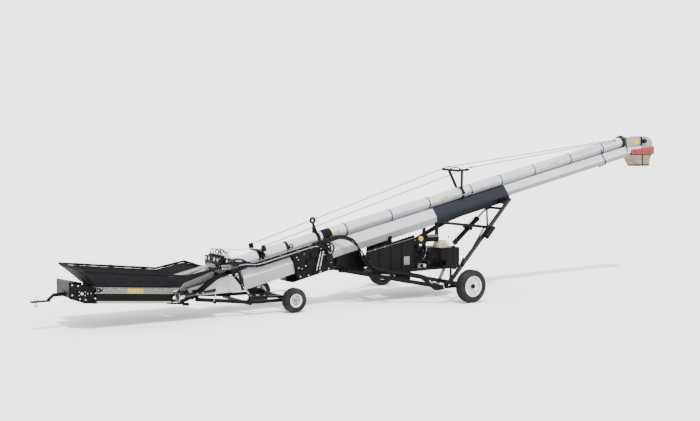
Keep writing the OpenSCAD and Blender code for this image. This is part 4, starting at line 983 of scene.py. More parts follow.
def controls():
    """Spools, levers, fittings and the loops of hose over the valve bank."""
    steel = Shape()
    dark = Shape()
    for k in range(5):
        y = -0.24 + 0.12 * k
        at = axle(-5.100, y, 1.120)
        dark.block(at + Vector((0, 0, 0.020)), (0.085, 0.095, 0.050), 0.006)
        steel.rod(at + Vector((0, 0, 0.045)), at + Vector((0, 0, 0.075)), 0.013, 20)
        steel.rod(at + Vector((0, 0, 0.07)), at + Vector((-0.03, 0, 0.150)), 0.005, 12)
        dark.ball(at + Vector((-0.032, 0, 0.155)), 0.014)
        for z, x in ((0.985, -0.005), (0.985, 0.045)):
            low = axle(-5.130 + x, y, 1.030)
            steel.hexagon(low, low - Vector((0, 0, 0.035)), 0.030)
            steel.rod(low - Vector((0, 0, 0.030)), low - Vector((0, 0, 0.055)), 0.012, 16)
    # gauges and bolts on the panel
    for y in (-0.26, -0.12, 0.12, 0.26):
        at = axle(-5.192, y, 1.085)
        steel.turned([(0.001, 0), (0.030, 0), (0.034, -0.004), (0.034, -0.016), (0.001, -0.016)], at,
            "X", 32)
    for y in (-0.33, 0.33):
        for z in (0.97, 1.12):
            at = axle(-5.190, y, z)
            steel.hexagon(at, at - Vector((0.009, 0, 0)), 0.020)
    # silver fittings in a row below the near end
    for k in range(4):
        for j in range(2):
            at = axle(-5.155 + 0.045 * k, -0.330 - 0.02 * j, 0.985 - 0.05 * j)
            steel.hexagon(at, at + Vector((0, -0.030, -0.006)), 0.034)
            steel.rod(at + Vector((0, -0.030, 0)), at + Vector((0, -0.055, -0.010)), 0.013, 16)
    dark.block(axle(-5.090, -0.290, 0.965), (0.220, 0.080, 0.110), 0.008)
    steel.done("valve_fittings", "bright_steel", "conveyor")
    dark.done("valve_spools", "black_paint", "conveyor")
    loops = []
    for k in range(5):
        y = -0.27 + 0.11 * k
        rise = 0.105 + 0.018 * (k % 3)
        loops.append([
            axle(-5.150, y, 1.110), axle(-5.152, y, 1.135 + rise * 0.5),
            axle(-5.115, y - 0.01, 1.13 + rise),
            axle(-5.040, y - 0.02, 1.135 + rise), axle(-4.970, y * 0.8 - 0.04, 1.110 + rise * 0.6),
            axle(-4.900, y * 0.6 - 0.07, 1.060), tube(-4.740, y * 0.35 - 0.105, 0.085),
            tube(-4.640, y * 0.10 - 0.155, 0.0), tube(-4.560, -0.175 - 0.01 * k, -0.050),
        ])
    for k, route in enumerate(loops):
        pipe(f"valve_hose_{k + 1}", route, 0.009, "dark_rubber", "conveyor", 8)
    # two pale lines that arch over the lower end of the tube
    for k in range(2):
        route = [
            axle(-5.02, 0.10 + 0.03 * k, 1.12), axle(-4.93, 0.08 + 0.03 * k, 1.245),
            tube(-4.62, 0.04 + 0.03 * k, 0.225),
            tube(-4.38, -0.04 + 0.03 * k, 0.195), tube(-4.24, -0.12 + 0.02 * k, 0.125),
            tube(-4.16, -0.165 + 0.02 * k, 0.01),
            tube(-4.12, -0.170 + 0.01 * k, -0.070),
        ]
        pipe(f"pale_line_{k + 1}", route, 0.006, "cream_plastic", "conveyor", 8)
    # hoses that drop to the mover cylinders on both sides
    for side in (-1, 1):
        for k in range(2):
            route = [
                axle(-5.06, side * (0.26 + 0.03 * k), 1.05),
                axle(-4.96, side * (0.36 + 0.03 * k), 1.09),
                axle(-4.87, side * (0.45 + 0.02 * k), 1.00),
                axle(-4.83, side * (0.485 + 0.02 * k), 0.86),
            ]
            # one hose ends at each port of the barrel
            if k == 0:
                route += [axle(-4.79, side * 0.535, 0.72), axle(-4.792, side * 0.516, 0.604)]
            else:
                route += [axle(-4.88, side * 0.535, 0.815), axle(-4.939, side * 0.516, 0.780)]
            pipe(f"mover_hose_{side_name(side)}_{k + 1}", route, 0.008, "dark_rubber", "conveyor", 8)


# ---------------------------------------------------------------- engine and platform


def engine():
    """Fan grille, covers, pulleys, pipes, wiring and filler of the engine."""
    c = axle(-0.600, -0.495, 0.940)
    grille = Shape()
    for r in (0.060, 0.095, 0.130, 0.165):
        grille.turned([(r - 0.005, -0.004), (r + 0.005, -0.004), (r + 0.005, -0.014),
            (r - 0.005, -0.014)], c, "Y", 48)
    for k in range(16):
        a = 2 * math.pi * k / 16
        d = Vector((math.cos(a), 0, math.sin(a)))
        off = Vector((0, -0.010, 0))
        grille.rod(c + d * 0.045 + off, c + d * 0.180 + off, 0.004, 8)
    grille.turned([(0.001, -0.002), (0.045, -0.002), (0.045, -0.024), (0.036, -0.030), (0.001, -0.032)],
        c, "Y", 40)
    grille.turned([(0.172, 0), (0.232, 0), (0.236, -0.006), (0.232, -0.014), (0.180, -0.020),
        (0.172, -0.016)], c, "Y", 64)
    grille.done("fan_grille", "black_paint", "conveyor")
    bright = Shape()
    for k in range(8):
        a = 2 * math.pi * (k + 0.5) / 8
        at = c + Vector((math.cos(a) * 0.212, -0.016, math.sin(a) * 0.212))
        bright.hexagon(at, at + Vector((0, -0.010, 0)), 0.018)
    for s in (-1, 1):
        top = axle(-0.600 + s * 0.285, -0.170, 1.115)
        bright.rod(top, top + Vector((s * 0.05, 0, 0.05)), 0.013, 16)
    # dipstick, oil filter and starter
    bright.rod(axle(-0.35, -0.50, 0.86), axle(-0.31, -0.53, 1.10), 0.005, 12)
    bright.rod(axle(-0.40, -0.47, 0.700), axle(-0.40, -0.57, 0.700), 0.040, 32)
    bright.done("engine_bright_parts", "bright_steel", "conveyor")
    dark = Shape()
    dark.rod(axle(-0.28, -0.36, 0.76), axle(-0.28, -0.56, 0.76), 0.052, 32)
    dark.rod(axle(-0.86, -0.40, 0.700), axle(-0.74, -0.40, 0.700), 0.045, 28)
    dark.block(axle(-0.600, -0.330, 1.160), (0.300, 0.200, 0.050), 0.020)
    dark.block(axle(-0.22, -0.45, 0.93), (0.100, 0.130, 0.170), 0.012)
    dark.block(axle(-0.22, -0.45, 1.06), (0.080, 0.100, 0.050), 0.010)
    dark.turned([
        (0.001, -0.16), (0.060, -0.16), (0.072, -0.150), (0.074, 0.150), (0.062, 0.162), (0.001, 0.162),
    ], axle(-0.095, -0.400, 1.270), "X", 40)
    for x in (-0.20, -0.10, 0.0):
        dark.turned([(0.070, -0.008), (0.079, -0.008), (0.079, 0.008), (0.070, 0.008)],
            axle(x, -0.400, 1.270), "X", 40)
    dark.done("engine_covers", "engine_metal", "conveyor")
    # heat shield with slots over the muffler
    shield = Shape()
    for k in range(9):
        a = math.radians(-60 + 15 * k)
        at = axle(-0.095, -0.400, 1.270) + Vector((0, math.sin(a), math.cos(a))) * 0.084
        shield.block(at, (0.290, 0.013, 0.003), 0.001, Matrix.Rotation(-a, 4, "X"))
    shield.done("muffler_shield", "fin_metal", "conveyor")
    fins = Shape()
    for s in (-1, 1):
        lean = Matrix.Translation(axle(-0.600 + s * 0.150, -0.170,
            0.980)) @ about_y(math.radians(45 * s))
        for k in range(8):
            place = lean @ Matrix.Translation((0, 0, 0.006 + 0.022 * k))
            fins.block(place.translation, (0.176, 0.176, 0.005), 0.001, place.to_3x3().to_4x4())
        fins.block((lean @ Vector((0, 0, 0.196))), (0.150, 0.150, 0.032), 0.010, lean.to_3x3().to_4x4())
    fins.done("cylinder_fins", "fin_metal", "conveyor")
    # filler neck under the yellow cap, ribbed edge of the cap
    cap = Shape()
    at = axle(-0.520, -0.520, 1.262)
    cap.turned([
        (0.001, 0.030), (0.034, 0.030), (0.041, 0.026), (0.043, 0.018), (0.043, 0.002), (0.001, 0.001),
    ], at, "Z", 48)
    for k in range(24):
        a = 2 * math.pi * k / 24
        p = at + Vector((math.cos(a) * 0.043, math.sin(a) * 0.043, 0.004))
        cap.rod(p, p + Vector((0, 0, 0.020)), 0.003, 8)
    cap.block(at + Vector((0, 0, 0.036)), (0.060, 0.014, 0.014), 0.004)
    cap.done("ribbed_fuel_cap", "yellow_plastic", "fuel_cap")
    neck = Shape()
    neck.rod(axle(-0.550, -0.612, 1.300), axle(-0.550, -0.640, 1.300), 0.055, 32)
    neck.rod(axle(-0.550, -0.640, 1.300), axle(-0.550, -0.648, 1.300), 0.042, 32)
    neck.done("filler_cap", "yellow_plastic", "conveyor")
    body = Shape()
    body.block(axle(-0.560, -0.592, 1.270), (0.160, 0.044, 0.150), 0.012)
    body.rod(axle(-0.600, -0.600, 1.200), axle(-0.610, -0.600, 1.060), 0.022, 20)
    body.done("filler_housing", "engine_metal", "conveyor")
    for k in range(6):
        x = -0.40 + 0.07 * k
        route = [
            axle(x - 0.10, -0.50, 1.00 - 0.03 * k), axle(x - 0.02, -0.56, 1.04 - 0.02 * k),
            axle(x + 0.05, -0.57, 0.93), axle(x + 0.02, -0.55, 0.80), axle(x + 0.08, -0.50, 0.68),
        ]
        pipe(f"engine_lead_{k + 1}", route, 0.006 + 0.002 * (k % 2), "dark_rubber", "conveyor", 8)


def platform():
    """Folded edges, ribs and battery of the platform, and the lines slung under it."""
    dark = Shape()
    for side in (-1, 1):
        dark.block(axle(-1.10, side * 0.606, 0.628), (1.25, 0.022, 0.060), 0.004)
        for x in (-1.62, -1.32, -1.03):
            top = 1.10 + 0.22 * (x + 1.93) if side < 0 else (0.835 if x < -1.2 else 1.26)
            dark.block(axle(x, side * 0.618, (0.66 + top) / 2), (0.030, 0.012, top - 0.66), 0.003)
    dark.rod(axle(-1.925, -0.616, 1.115), axle(-1.898, -0.616, 0.862), 0.008, 12)
    dark.rod(axle(-1.898, -0.616, 0.862), axle(-1.702, -0.616, 0.645), 0.008, 12)
    dark.rod(axle(-1.925, -0.616, 1.118), axle(-0.722, -0.616, 1.386), 0.008, 12)
    dark.rod(axle(-0.722, -0.616, 1.386), axle(-0.702, -0.616, 0.645), 0.008, 12)
    for x in (-1.30, 0.45):
        dark.block(axle(x, 0, 0.585), (0.060, 1.16, 0.040), 0.004)
    # dark box under the near edge
    dark.block(axle(-1.000, -0.55, 0.480), (0.35, 0.16, 0.090), 0.008)
    for x in (-1.12, -0.88):
        dark.block(axle(x, -0.55, 0.575), (0.040, 0.100, 0.110), 0.004)
    dark.done("platform_ribs", "black_paint", "conveyor")
    # plain pale plate on the near shield
    plate = Shape()
    plate.block(axle(-0.915, -0.6145, 0.845), (0.150, 0.003, 0.180), 0.001)
    plate.done("shield_plate", "grey_paint", "conveyor")
    # bright rod across the near shield
    rod = Shape()
    low, high = axle(-1.98, -0.632, 1.085), axle(-0.74, -0.632, 1.325)
    rod.rod(low, high, 0.0045, 16)
    for f in (0.18, 0.38):
        p = low.lerp(high, f)
        rod.hexagon(p - Vector((0.018, 0, 0.006)), p + Vector((0.018, 0, 0.006)), 0.028)
    rod.done("shield_rod", "dull_steel", "conveyor", slot="bright_steel")
    # hanging group of lines below the tank
    for k in range(5):
        y = -0.60 + 0.05 * k
        route = [
            axle(0.30 + 0.04 * k, y, 0.66), axle(0.32 + 0.03 * k, y, 0.52),
            axle(0.29 + 0.03 * k, y - 0.01, 0.36 - 0.01 * k),
            axle(0.17 + 0.03 * k, y - 0.02, 0.205 - 0.012 * k), axle(0.03, y - 0.02, 0.160 - 0.010 * k),
            axle(-0.13, y - 0.02, 0.215), axle(-0.29, y - 0.01, 0.34), axle(-0.50, y, 0.465),
            axle(-0.80, y + 0.02, 0.583),
        ]
        pipe(f"tank_hose_{k + 1}", route, 0.011 + 0.001 * (k % 3), "dark_rubber", "conveyor", 8)
    # long lines below the near edge of the platform
    for k in range(3):
        y = -0.600 + 0.03 * k
        route = [
            tube(-2.95, -0.175, -0.060 - 0.02 * k), tube(-2.62, -0.190, -0.045 - 0.02 * k),
            tube(-2.46, -0.270, -0.040 - 0.02 * k), tube(-2.33, -0.370, -0.100 - 0.02 * k),
            tube(-2.23, -0.470, -0.230 - 0.02 * k), axle(-2.03, -0.590, 0.970 - 0.02 * k),
            axle(-1.90, -0.630, 0.800 - 0.02 * k), axle(-1.70, y - 0.03, 0.680 - 0.02 * k),
            axle(-1.40, y, 0.615 - 0.015 * k),
            axle(-1.00, y - 0.005, 0.565 - 0.02 * k), axle(-0.60, y, 0.505 - 0.02 * k),
            axle(-0.42, y, 0.45 - 0.02 * k),
        ]
        pipe(f"platform_line_{k + 1}", route, 0.012, "dark_rubber", "conveyor", 8)
    # tank trim: lid and seams
    trim = Shape()
    trim.block(axle(0.280, -0.280, 1.052), (0.530, 0.650, 0.008), 0.003)
    for x in (0.06, 0.19, 0.37, 0.50):
        trim.block(axle(x, -0.603, 0.845), (0.012, 0.008, 0.380), 0.002)
    trim.block(axle(0.280, -0.604, 1.030), (0.50, 0.010, 0.020), 0.003)
    trim.block(axle(0.280, -0.604, 0.662), (0.50, 0.010, 0.020), 0.003)
    trim.done("tank_trim", "black_paint", "conveyor")
    lever = Shape()
    lever.rod(axle(0.389, -0.40, 1.05), axle(0.389, -0.40, 1.265), 0.006, 14)
    lever.done("throttle_stem", "dull_steel", "conveyor", slot="bright_steel")
    knob = Shape()
    knob.rod(axle(0.389, -0.40, 1.250), axle(0.391, -0.40, 1.310), 0.013, 20, 0.010)
    knob.done("throttle_grip", "black_paint", "conveyor")


# ---------------------------------------------------------------- head


def head_trim():
    """Seams of the hood, bearing, red clips and the strap with its hook."""
    seams = Shape()
    for x, z in ((7.000, 3.544), (7.130, 3.536)):
        seams.block(axle(x, 0, z), (0.012, 0.384, 0.008), 0.002)
    for side in (-1, 1):
        seams.block(axle(7.010, side * 0.192, 3.370), (0.012, 0.008, 0.330), 0.003)
        seams.block(axle(6.90, side * 0.203, 3.212), (0.80, 0.010, 0.020), 0.003)
    seams.done("hood_seams", "tan_paint", "conveyor")
    # rubber edging of the duct and the band over the flange
    edging = Shape()
    edging.block(axle(6.880, 0, 3.535), (0.026, 0.392, 0.012), 0.003)
    for side in (-1, 1):
        edging.block(axle(6.880, side * 0.194, 3.383), (0.026, 0.012, 0.310), 0.003)
        edging.block(axle(6.60, side * 0.163, 3.245), (0.520, 0.010, 0.018), 0.003, about_y(-0.03))
    edging.done("duct_edging", "dark_rubber", "conveyor")
    band = Shape()
    band.turned([(0.1275, 6.385), (0.148, 6.385), (0.148, 6.480), (0.1275, 6.480)], (0, 0, 0), "X", 72)
    for a in (0.6, 1.2, 1.9, 2.5):
        c = Vector((6.430, math.cos(a) * 0.152, math.sin(a) * 0.152))
        band.block(c, (0.070, 0.030, 0.022), 0.004, Matrix.Rotation(a - math.pi / 2, 4, "X"))
    band.moved(TUBE_FRAME).done("head_band", "dark_rubber", "conveyor")
    # side plates that carry the guard on to the hood
    nose = Shape()
    outline = [(6.360, 3.100), (6.360, 3.262), (6.860, 3.298), (6.860, 3.236), (6.505, 3.205),
        (6.455, 3.120)]
    for side in (-1, 1):
        at = Matrix.Translation(axle(0, side * 0.200 + (0.003 if side > 0 else 0.0),
            0)) @ Matrix.Rotation(math.pi / 2, 4, "X")
        nose.prism(outline, 0.006, at)
    nose.done("guard_nose", "pale_guard", "conveyor")
    bearing = Shape()
    c = tube(7.080, 0, -0.115)
    for side in (-1, 1):
        at = c + Vector((0, side * 0.222, 0))
        bearing.turned([
            (0.001, 0.030 * side), (0.030, 0.030 * side), (0.040, 0.022 * side), (0.058, 0.018 * side),
            (0.060, 0.0), (0.001, 0.0),
        ], at, "Y", 40)
        bearing.block(at + Vector((0.0, 0.004 * side, 0)), (0.190, 0.014, 0.085), 0.010)
        for dx in (-0.078, 0.078):
            p = at + Vector((dx, 0.010 * side, 0))
            bearing.hexagon(p, p + Vector((0, 0.014 * side, 0)), 0.024)
    bearing.done("head_bearings", "black_paint", "conveyor")
    clips = Shape()
    for side in (-1, 1):
        for x in (6.62, 6.88, 7.16):
            clips.block(axle(x, side * 0.229, 3.150), (0.070, 0.010, 0.050), 0.005)
            clips.rod(axle(x - 0.03, side * 0.236, 3.165), axle(x + 0.03, side * 0.236, 3.165), 0.006,
                12)
        clips.block(axle(6.895, side * 0.228, 3.098), (0.83, 0.012, 0.020), 0.004)
    clips.done("collar_clips", "red_paint", "conveyor")
    # moulded skirt that rises towards the discharge end
    skirt = Shape()
    outline = [(6.475, 3.180), (6.700, 3.206), (7.318, 3.284), (7.318, 3.180)]
    for side in (-1, 1):
        at = Matrix.Translation(axle(0, side * 0.195 + (0.033 if side > 0 else 0.0),
            0)) @ Matrix.Rotation(math.pi / 2, 4, "X")
        skirt.prism(outline, 0.033, at)
    skirt.block(axle(7.310, 0, 3.232), (0.018, 0.440, 0.104), 0.004)
    skirt.done("collar_skirt", "red_paint", "conveyor")
    # rubber strap round the guard, with its free end and hook
    loop = [
        tube(5.600, -0.129, 0.0), tube(5.601, -0.134, -0.110), tube(5.602, -0.168, -0.210),
        tube(5.603, -0.210, -0.285),
        tube(5.603, -0.206, -0.345), tube(5.600, -0.196, -0.386), tube(5.570, -0.180, -0.395),
        tube(5.520, -0.170, -0.393),
        tube(5.450, -0.165, -0.398),
    ]
    pipe("guard_strap", loop, 0.011, "dark_rubber", "conveyor", 8)
    hook = Shape()
    hook.rod(tube(5.455, -0.165, -0.397), tube(5.405, -0.163, -0.400), 0.017, 20)
    hook.done("strap_handle", "black_paint", "conveyor")
    flange = Shape()
    for k in range(12):
        a = 2 * math.pi * (k + 0.5) / 12
        p = Vector((6.488, math.cos(a) * 0.145, math.sin(a) * 0.145))
        flange.hexagon(p, p + Vector((0.034, 0, 0)), 0.020)
    flange.moved(TUBE_FRAME).done("flange_bolts", "dull_steel", "conveyor", slot="bright_steel")


# ---------------------------------------------------------------- intake end


def intake_trim():
    """Bolted edge strip, pale base strip and the throat plate."""
    dark = Shape()
    pale = Shape()
    steel = Shape()
    for side in (-1, 1):
        for k in range(22):
            x = -1.340 + 0.064 * k
            dark.block(intake(x, side * 0.401, 0.276), (0.034, 0.006, 0.009), 0.002)
        pale.block(intake(-0.655, side * 0.399, 0.021), (1.44, 0.008, 0.038), 0.003,
                   about_y(BED_SLOPE))
        for x in (-1.25, -1.12, -1.02, -0.20, -0.05):
            p = intake(x, side * 0.402, 0.024)
            steel.hexagon(p, p + Vector((0, side * 0.008, 0)), 0.016)
        # latch and fittings at the tail end of the channel
        dark.block(intake(-1.330, side * 0.402, 0.235), (0.100, 0.014, 0.080), 0.006)
        for dx, dz in ((-0.03, 0.0), (0.02, 0.03), (0.03, -0.03)):
            p = intake(-1.330 + dx, side * 0.408, 0.235 + dz)
            steel.hexagon(p, p + Vector((0, side * 0.010, 0)), 0.018)
    dark.done("channel_slots", "black_paint", "conveyor")
    pale.done("base_strip", "cream_plastic", "conveyor", slot="grey_paint")
    steel.done("intake_fasteners", "bright_steel", "conveyor")
    throat = Shape()
    for side in (-1, 1):
        throat.block(axle(-5.600, side * 0.146, 0.815), (0.420, 0.006, 0.090), 0.002, about_y(-0.36))
    throat.done("throat_plates", "white_paint", "conveyor")


def tail_trim():
    """Folded edges, bearing plates and grease fittings of the tail box, and the foot of the hitch pin."""
    dark = Shape()
    steel = Shape()
    for side in (-1, 1):
        y = side * 0.353
        dark.rod(axle(-8.150, y, 0.866), axle(-7.697, y, 0.752), 0.008, 12)
        dark.rod(axle(-8.150, y, 0.586), axle(-7.850, y, 0.472), 0.008, 12)
        dark.rod(axle(-8.150, y, 0.866), axle(-8.150, y, 0.586), 0.008, 12)
        dark.block(intake(-1.650, side * 0.372, 0.170), (0.150, 0.016, 0.100), 0.008,
                   about_y(BED_SLOPE))
        c = intake(-1.650, side * 0.380, 0.170)
        steel.turned([
            (0.001, 0.012 * side), (0.020, 0.012 * side), (0.026, 0.008 * side), (0.030, 0.0),
            (0.001, 0.0),
        ], c, "Y", 32)
        for dx, dz in ((-0.055, 0.032), (0.055, 0.032), (-0.055, -0.032), (0.055, -0.032)):
            p = intake(-1.650 + dx, side * 0.380, 0.170 + dz)
            steel.hexagon(p, p + Vector((0, side * 0.010, 0)), 0.018)
        for f in (0.06, 0.12, 0.20):
            p = intake(-1.610 + f, side * 0.362, 0.171 + f * 0.03)
            steel.hexagon(p, p + Vector((0.016, 0, -0.001)), 0.032)
    dark.done("tail_edges", "black_paint", "conveyor")
    steel.done("tail_bearings", "bright_steel", "conveyor")
    foot = Shape()
    foot.turned([(0.001, 0.0), (0.030, 0.0), (0.034, 0.004), (0.034, 0.012), (0.001, 0.012)],
                axle(-8.640, 0, 0.4335), "Z", 40)
    foot.done("hitch_pin_foot", "dull_steel", "hitch_pin", slot="bright_steel")


# ---------------------------------------------------------------- undercarriage and jack


def lift_trim():
    """Glands, ports and pins of the cylinders, and the rod along the track."""
    pivot = axle(1.290, 0, 1.410)
    v = (axle(1.860, 0, 1.865) - pivot).normalized()
    gland = Shape()
    gland.rod(pivot + v * 0.300, pivot + v * 0.345, 0.066, 48)
    gland.rod(pivot - v * 0.540, pivot - v * 0.500, 0.058, 48)
    gland.done("cylinder_gland", "black_paint", "lift_cylinder")
    ports = Shape()
    for d in (0.24, -0.43):
        p = pivot + v * d
        up = Vector((-v.z, 0, v.x))
        ports.hexagon(p + up * 0.050, p + up * 0.085, 0.034)
        ports.rod(p + up * 0.080, p + up * 0.098, 0.012, 16)
    ports.done("cylinder_ports", "bright_steel", "lift_cylinder")
    up = Vector((-v.z, 0, v.x))
    feed = [pivot + v * 0.24 + up * 0.095, pivot + v * 0.10 + up * 0.104, pivot - v * 0.20 + up * 0.094,
            pivot - v * 0.43 + up * 0.095]
    pipe("cylinder_line", feed, 0.008, "bright_steel", "lift_cylinder", 10)
    pins = Shape()
    for side in (-1, 1):
        at = axle(-0.520, side * 1.561, 0.400)
        pins.rod(at, at + Vector((0, side * 0.010, 0)), 0.020, 24)
        knee = axle(-0.580, side * 1.432, 0.345)
        pins.hexagon(knee + Vector((0, side * 0.028, 0)), knee + Vector((0, side * 0.040, 0)), 0.036)
        pins.hexagon(axle(-0.10, side * 1.468, 0.345), axle(-0.10, side * 1.482, 0.345), 0.030)
    pins.done("lower_frame_pins", "bright_steel", "lower_arms")
    bracket = Shape()
    bracket.block(axle(0.04, -1.320, 0.830), (0.070, 0.018, 0.170), 0.006, about_y(0.5))
    bracket.block(axle(0.02, -1.350, 0.760), (0.050, 0.070, 0.040), 0.006)
    bracket.done("arm_bracket", "black_paint", "upper_arms")
    caps = Shape()
    a0, a1 = axle(-0.520, 1.520, 0.400), axle(carriage_x(), 0.480, carriage_z())
    paper = a0.lerp(a1, 0.6)
    paper = Vector((paper.x + 0.060, -paper.y - 0.070, paper.z - 0.010))
    d = Vector((a1.x - a0.x, -(a1.y - a0.y), a1.z - a0.z)).normalized()
    for s in (-1, 1):
        caps.rod(paper + d * s * 0.155, paper + d * s * 0.182, 0.054, 32)
    caps.rod(paper + d * 0.178, paper + d * 0.190, 0.020, 20)
    caps.done("paper_tube_caps", "black_paint", "upper_arms")


def carriage_x():
    return 2.060 * math.cos(SLOPE) + 0.400 * math.sin(SLOPE)


def carriage_z():
    return TUBE_Z + 2.060 * math.sin(SLOPE) - 0.400 * math.cos(SLOPE)


def mover_trim():
    """Glands on the mover cylinders and wheel motors with their lines."""
    top = Vector((-4.990, 0.460, 0.840))
    foot = Vector((-4.580, 0.460, 0.345))
    v = (foot - top).normalized()
    gland = Shape()
    ring = Shape()
    for side in (-1, 1):
        t = Vector((top.x + AXLE_X, side * top.y, top.z))
        gland.rod(t + v * 0.335, t + v * 0.360, 0.034, 32)
        gland.rod(t + v * 0.040, t + v * 0.060, 0.034, 32)
        p = t + v * 0.31
        ring.hexagon(p + Vector((0, side * 0.026, 0)), p + Vector((0, side * 0.050, 0)), 0.024)
        p = t + v * 0.08
        ring.hexagon(p + Vector((0, side * 0.026, 0)), p + Vector((0, side * 0.050, 0)), 0.024)
    gland.done("mover_cylinder_glands", "black_paint", "mover_cylinders")
    ring.done("mover_cylinder_ports", "bright_steel", "mover_cylinders")
    motor = Shape()
    fittings = Shape()
    for side in (-1, 1):
        c = Vector((-3.773 + AXLE_X, side * 0.600, 0.246))
        motor.turned([
            (0.001, -0.060), (0.052, -0.060), (0.060, -0.054), (0.062, -0.020), (0.078, -0.016),
            (0.080, 0.030),
            (0.072, 0.036), (0.001, 0.036),
        ], c, "Y", 40)
        for dx in (-0.02, 0.02):
            p = c + Vector((dx, -side * 0.02, 0.058))
            fittings.hexagon(p, p + Vector((0, 0, 0.028)), 0.024)
        route = [
            c + Vector((-0.02, -side * 0.02, 0.080)), c + Vector((-0.05, -side * 0.02, 0.160)),
            c + Vector((-0.25, -side * 0.015, 0.185)), c + Vector((-0.60, side * 0.0, 0.165)),
            c + Vector((-0.95, side * 0.030, 0.170)),
        ]
        pipe(f"motor_hose_{side_name(side)}", route, 0.009, "dark_rubber", "mover", 8)
    motor.done("wheel_motors", "grey_iron", "mover")
    fittings.done("wheel_motor_fittings", "bright_steel", "mover")


def jack_trim():
    """Foot plate wear ring, collar and gear head of the jack, and the grip of its crank."""
    lean = Vector((-0.640, 0, -0.051)).normalized()
    at = axle(-5.715, -0.525, 0.510)
    plate = Shape()
    plate.rod(at + lean * 0.437, at + lean * 0.441, 0.108, 48)
    plate.rod(at + lean * 0.405, at + lean * 0.440, 0.045, 32, 0.060)
    plate.done("jack_foot_plate", "dull_steel", "jack_leg", slot="bright_steel")
    collar = Shape()
    collar.rod(at + lean * 0.270, at + lean * 0.302, 0.0375, 40)
    collar.rod(at - lean * 0.333, at - lean * 0.300, 0.0385, 40)
    collar.rod(at - lean * 0.240, at - lean * 0.342, 0.0355, 40)
    collar.done("jack_collars", "slate_paint", "jack_tube")
    bolts = Shape()
    for d in (-0.06, 0.06):
        p = at + lean * d + Vector((0, -0.032, 0))
        bolts.hexagon(p, p + Vector((0, -0.014, 0)), 0.026)
    bolts.done("jack_bolts", "bright_steel", "jack_tube")
    pivot = axle(-5.715 + 0.296, -0.525, 0.534)
    grip = Shape()
    g = pivot + Vector((-0.056, -0.112, -0.206))
    grip.turned([
        (0.001, -0.090), (0.014, -0.090), (0.018, -0.080), (0.019, -0.045), (0.018, -0.010),
        (0.015, 0.004), (0.001, 0.004),
    ], g, "Y", 28)
    grip.done("crank_grip", "dark_rubber", "jack_crank")


# ---------------------------------------------------------------- plain films


def film_on_tube(name, t, length, up, height, finish):
    """A thin film wrapped on the near side of the tube, with no lettering."""
    for side in (-1, 1):
        bm = bmesh.new()
        columns, rows = 8, 6
        grid = []
        for j in range(rows + 1):
            a = up + height * (j / rows - 0.5)
            line = []
            for k in range(columns + 1):
                x = t + length * (k / columns - 0.5) + 0.25 * height * TUBE_R * (j / rows - 0.5)
                r = TUBE_R + 0.0012
                p = TUBE_FRAME @ Vector((x, side * r * math.cos(a), r * math.sin(a)))
                line.append(bm.verts.new(p))
            grid.append(line)
        for a, b in zip(grid, grid[1:]):
            for k in range(columns):
                bm.faces.new((a[k], a[k + 1], b[k + 1], b[k]))
        mesh = bpy.data.meshes.new(name)
        bm.to_mesh(mesh)
        bm.free()
        link(f"{name}_{side_name(side)}", mesh, finish, "conveyor", 60)


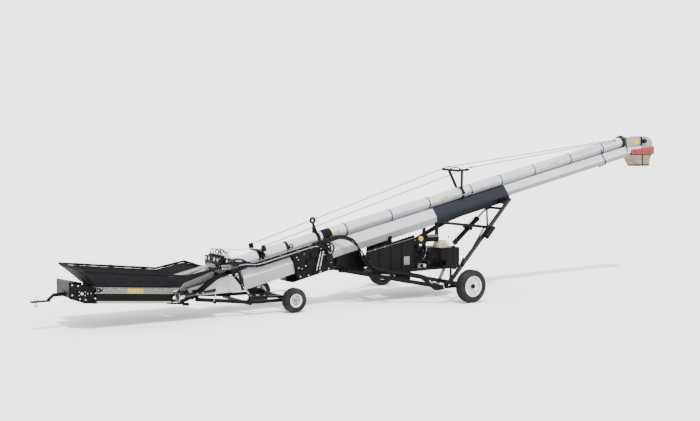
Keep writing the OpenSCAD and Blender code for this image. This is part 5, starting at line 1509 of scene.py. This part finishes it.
def films():
    for k, t in enumerate((-2.50, 0.45, 3.90)):
        film_on_tube(f"yellow_film_{k + 1}", t, 0.16, 0.10, 0.45, "yellow_film")
        film_on_tube(f"amber_film_{k + 1}", t + 0.11, 0.05, 0.10, 0.45, "amber_film")
    film_on_tube("green_film", -2.52, 0.10, -0.32, 0.16, "green_film")
    for side in (-1, 1):
        strip = Shape()
        strip.block(intake(-0.655, side * 0.4012, 0.228), (0.31, 0.0015, 0.085), 0.0,
                    about_y(BED_SLOPE))
        strip.done(f"intake_film_{side_name(side)}", "yellow_film", "conveyor", slot="yellow_plastic")
        hood = Shape()
        hood.block(axle(6.755, side * 0.1612, 3.405), (0.190, 0.0015, 0.105), 0.0, about_y(-0.12))
        hood.done(f"hood_film_{side_name(side)}", "yellow_film", "conveyor", slot="yellow_plastic")


band_fittings()
tube_seams()
steel_lines()
cable_fittings()
belt_drive()
controls()
engine()
platform()
head_trim()
intake_trim()
tail_trim()
lift_trim()
mover_trim()
jack_trim()
films()

# ---------------------------------------------------------------- stage

FLOOR_SIZE = 1200
SKY_FALL = {"From Min": 0.20, "From Max": 0.45, "To Min": 3.35, "To Max": 2.0}
SUN_STRENGTH = 5.0
SUN_TOWARDS = Vector((0.16, 0.46, -1.0))


def make_stage():
    bpy.ops.mesh.primitive_plane_add(size=FLOOR_SIZE, location=(0, 0, -0.001))
    floor = bpy.context.object
    floor.name = "floor"
    m = Nodes("pale_floor")
    grain = m.noise(0.8, 3)
    m.colour(m.mix(m.ramp(grain, 0.3, 0.7), (0.90, 0.90, 0.90, 1), (0.92, 0.92, 0.92, 1)))
    m.shader.inputs["Roughness"].default_value = 0.95
    m.shader.inputs["Specular IOR Level"].default_value = 0.0
    floor.data.materials.append(m.mat)
    world = bpy.data.worlds.new("studio")
    world.use_nodes = True
    tree = world.node_tree
    sky = tree.nodes["Background"]
    # brighter low down, so that the sky meets the floor without a line
    up = tree.nodes.new("ShaderNodeTexCoord")
    part = tree.nodes.new("ShaderNodeSeparateXYZ")
    tree.links.new(up.outputs["Generated"], part.inputs[0])
    fall = tree.nodes.new("ShaderNodeMapRange")
    tree.links.new(part.outputs["Z"], fall.inputs["Value"])
    for name, value in SKY_FALL.items():
        fall.inputs[name].default_value = value
    tree.links.new(fall.outputs[0], sky.inputs["Strength"])
    sky.inputs["Color"].default_value = (1, 1, 1, 1)
    bpy.context.scene.world = world
    sun = bpy.data.lights.new("key_sun", "SUN")
    sun.energy = SUN_STRENGTH
    sun.angle = math.radians(5)
    lamp = bpy.data.objects.new("key_sun", sun)
    lamp.rotation_euler = SUN_TOWARDS.to_track_quat("-Z", "Y").to_euler()
    bpy.context.scene.collection.objects.link(lamp)


make_stage()
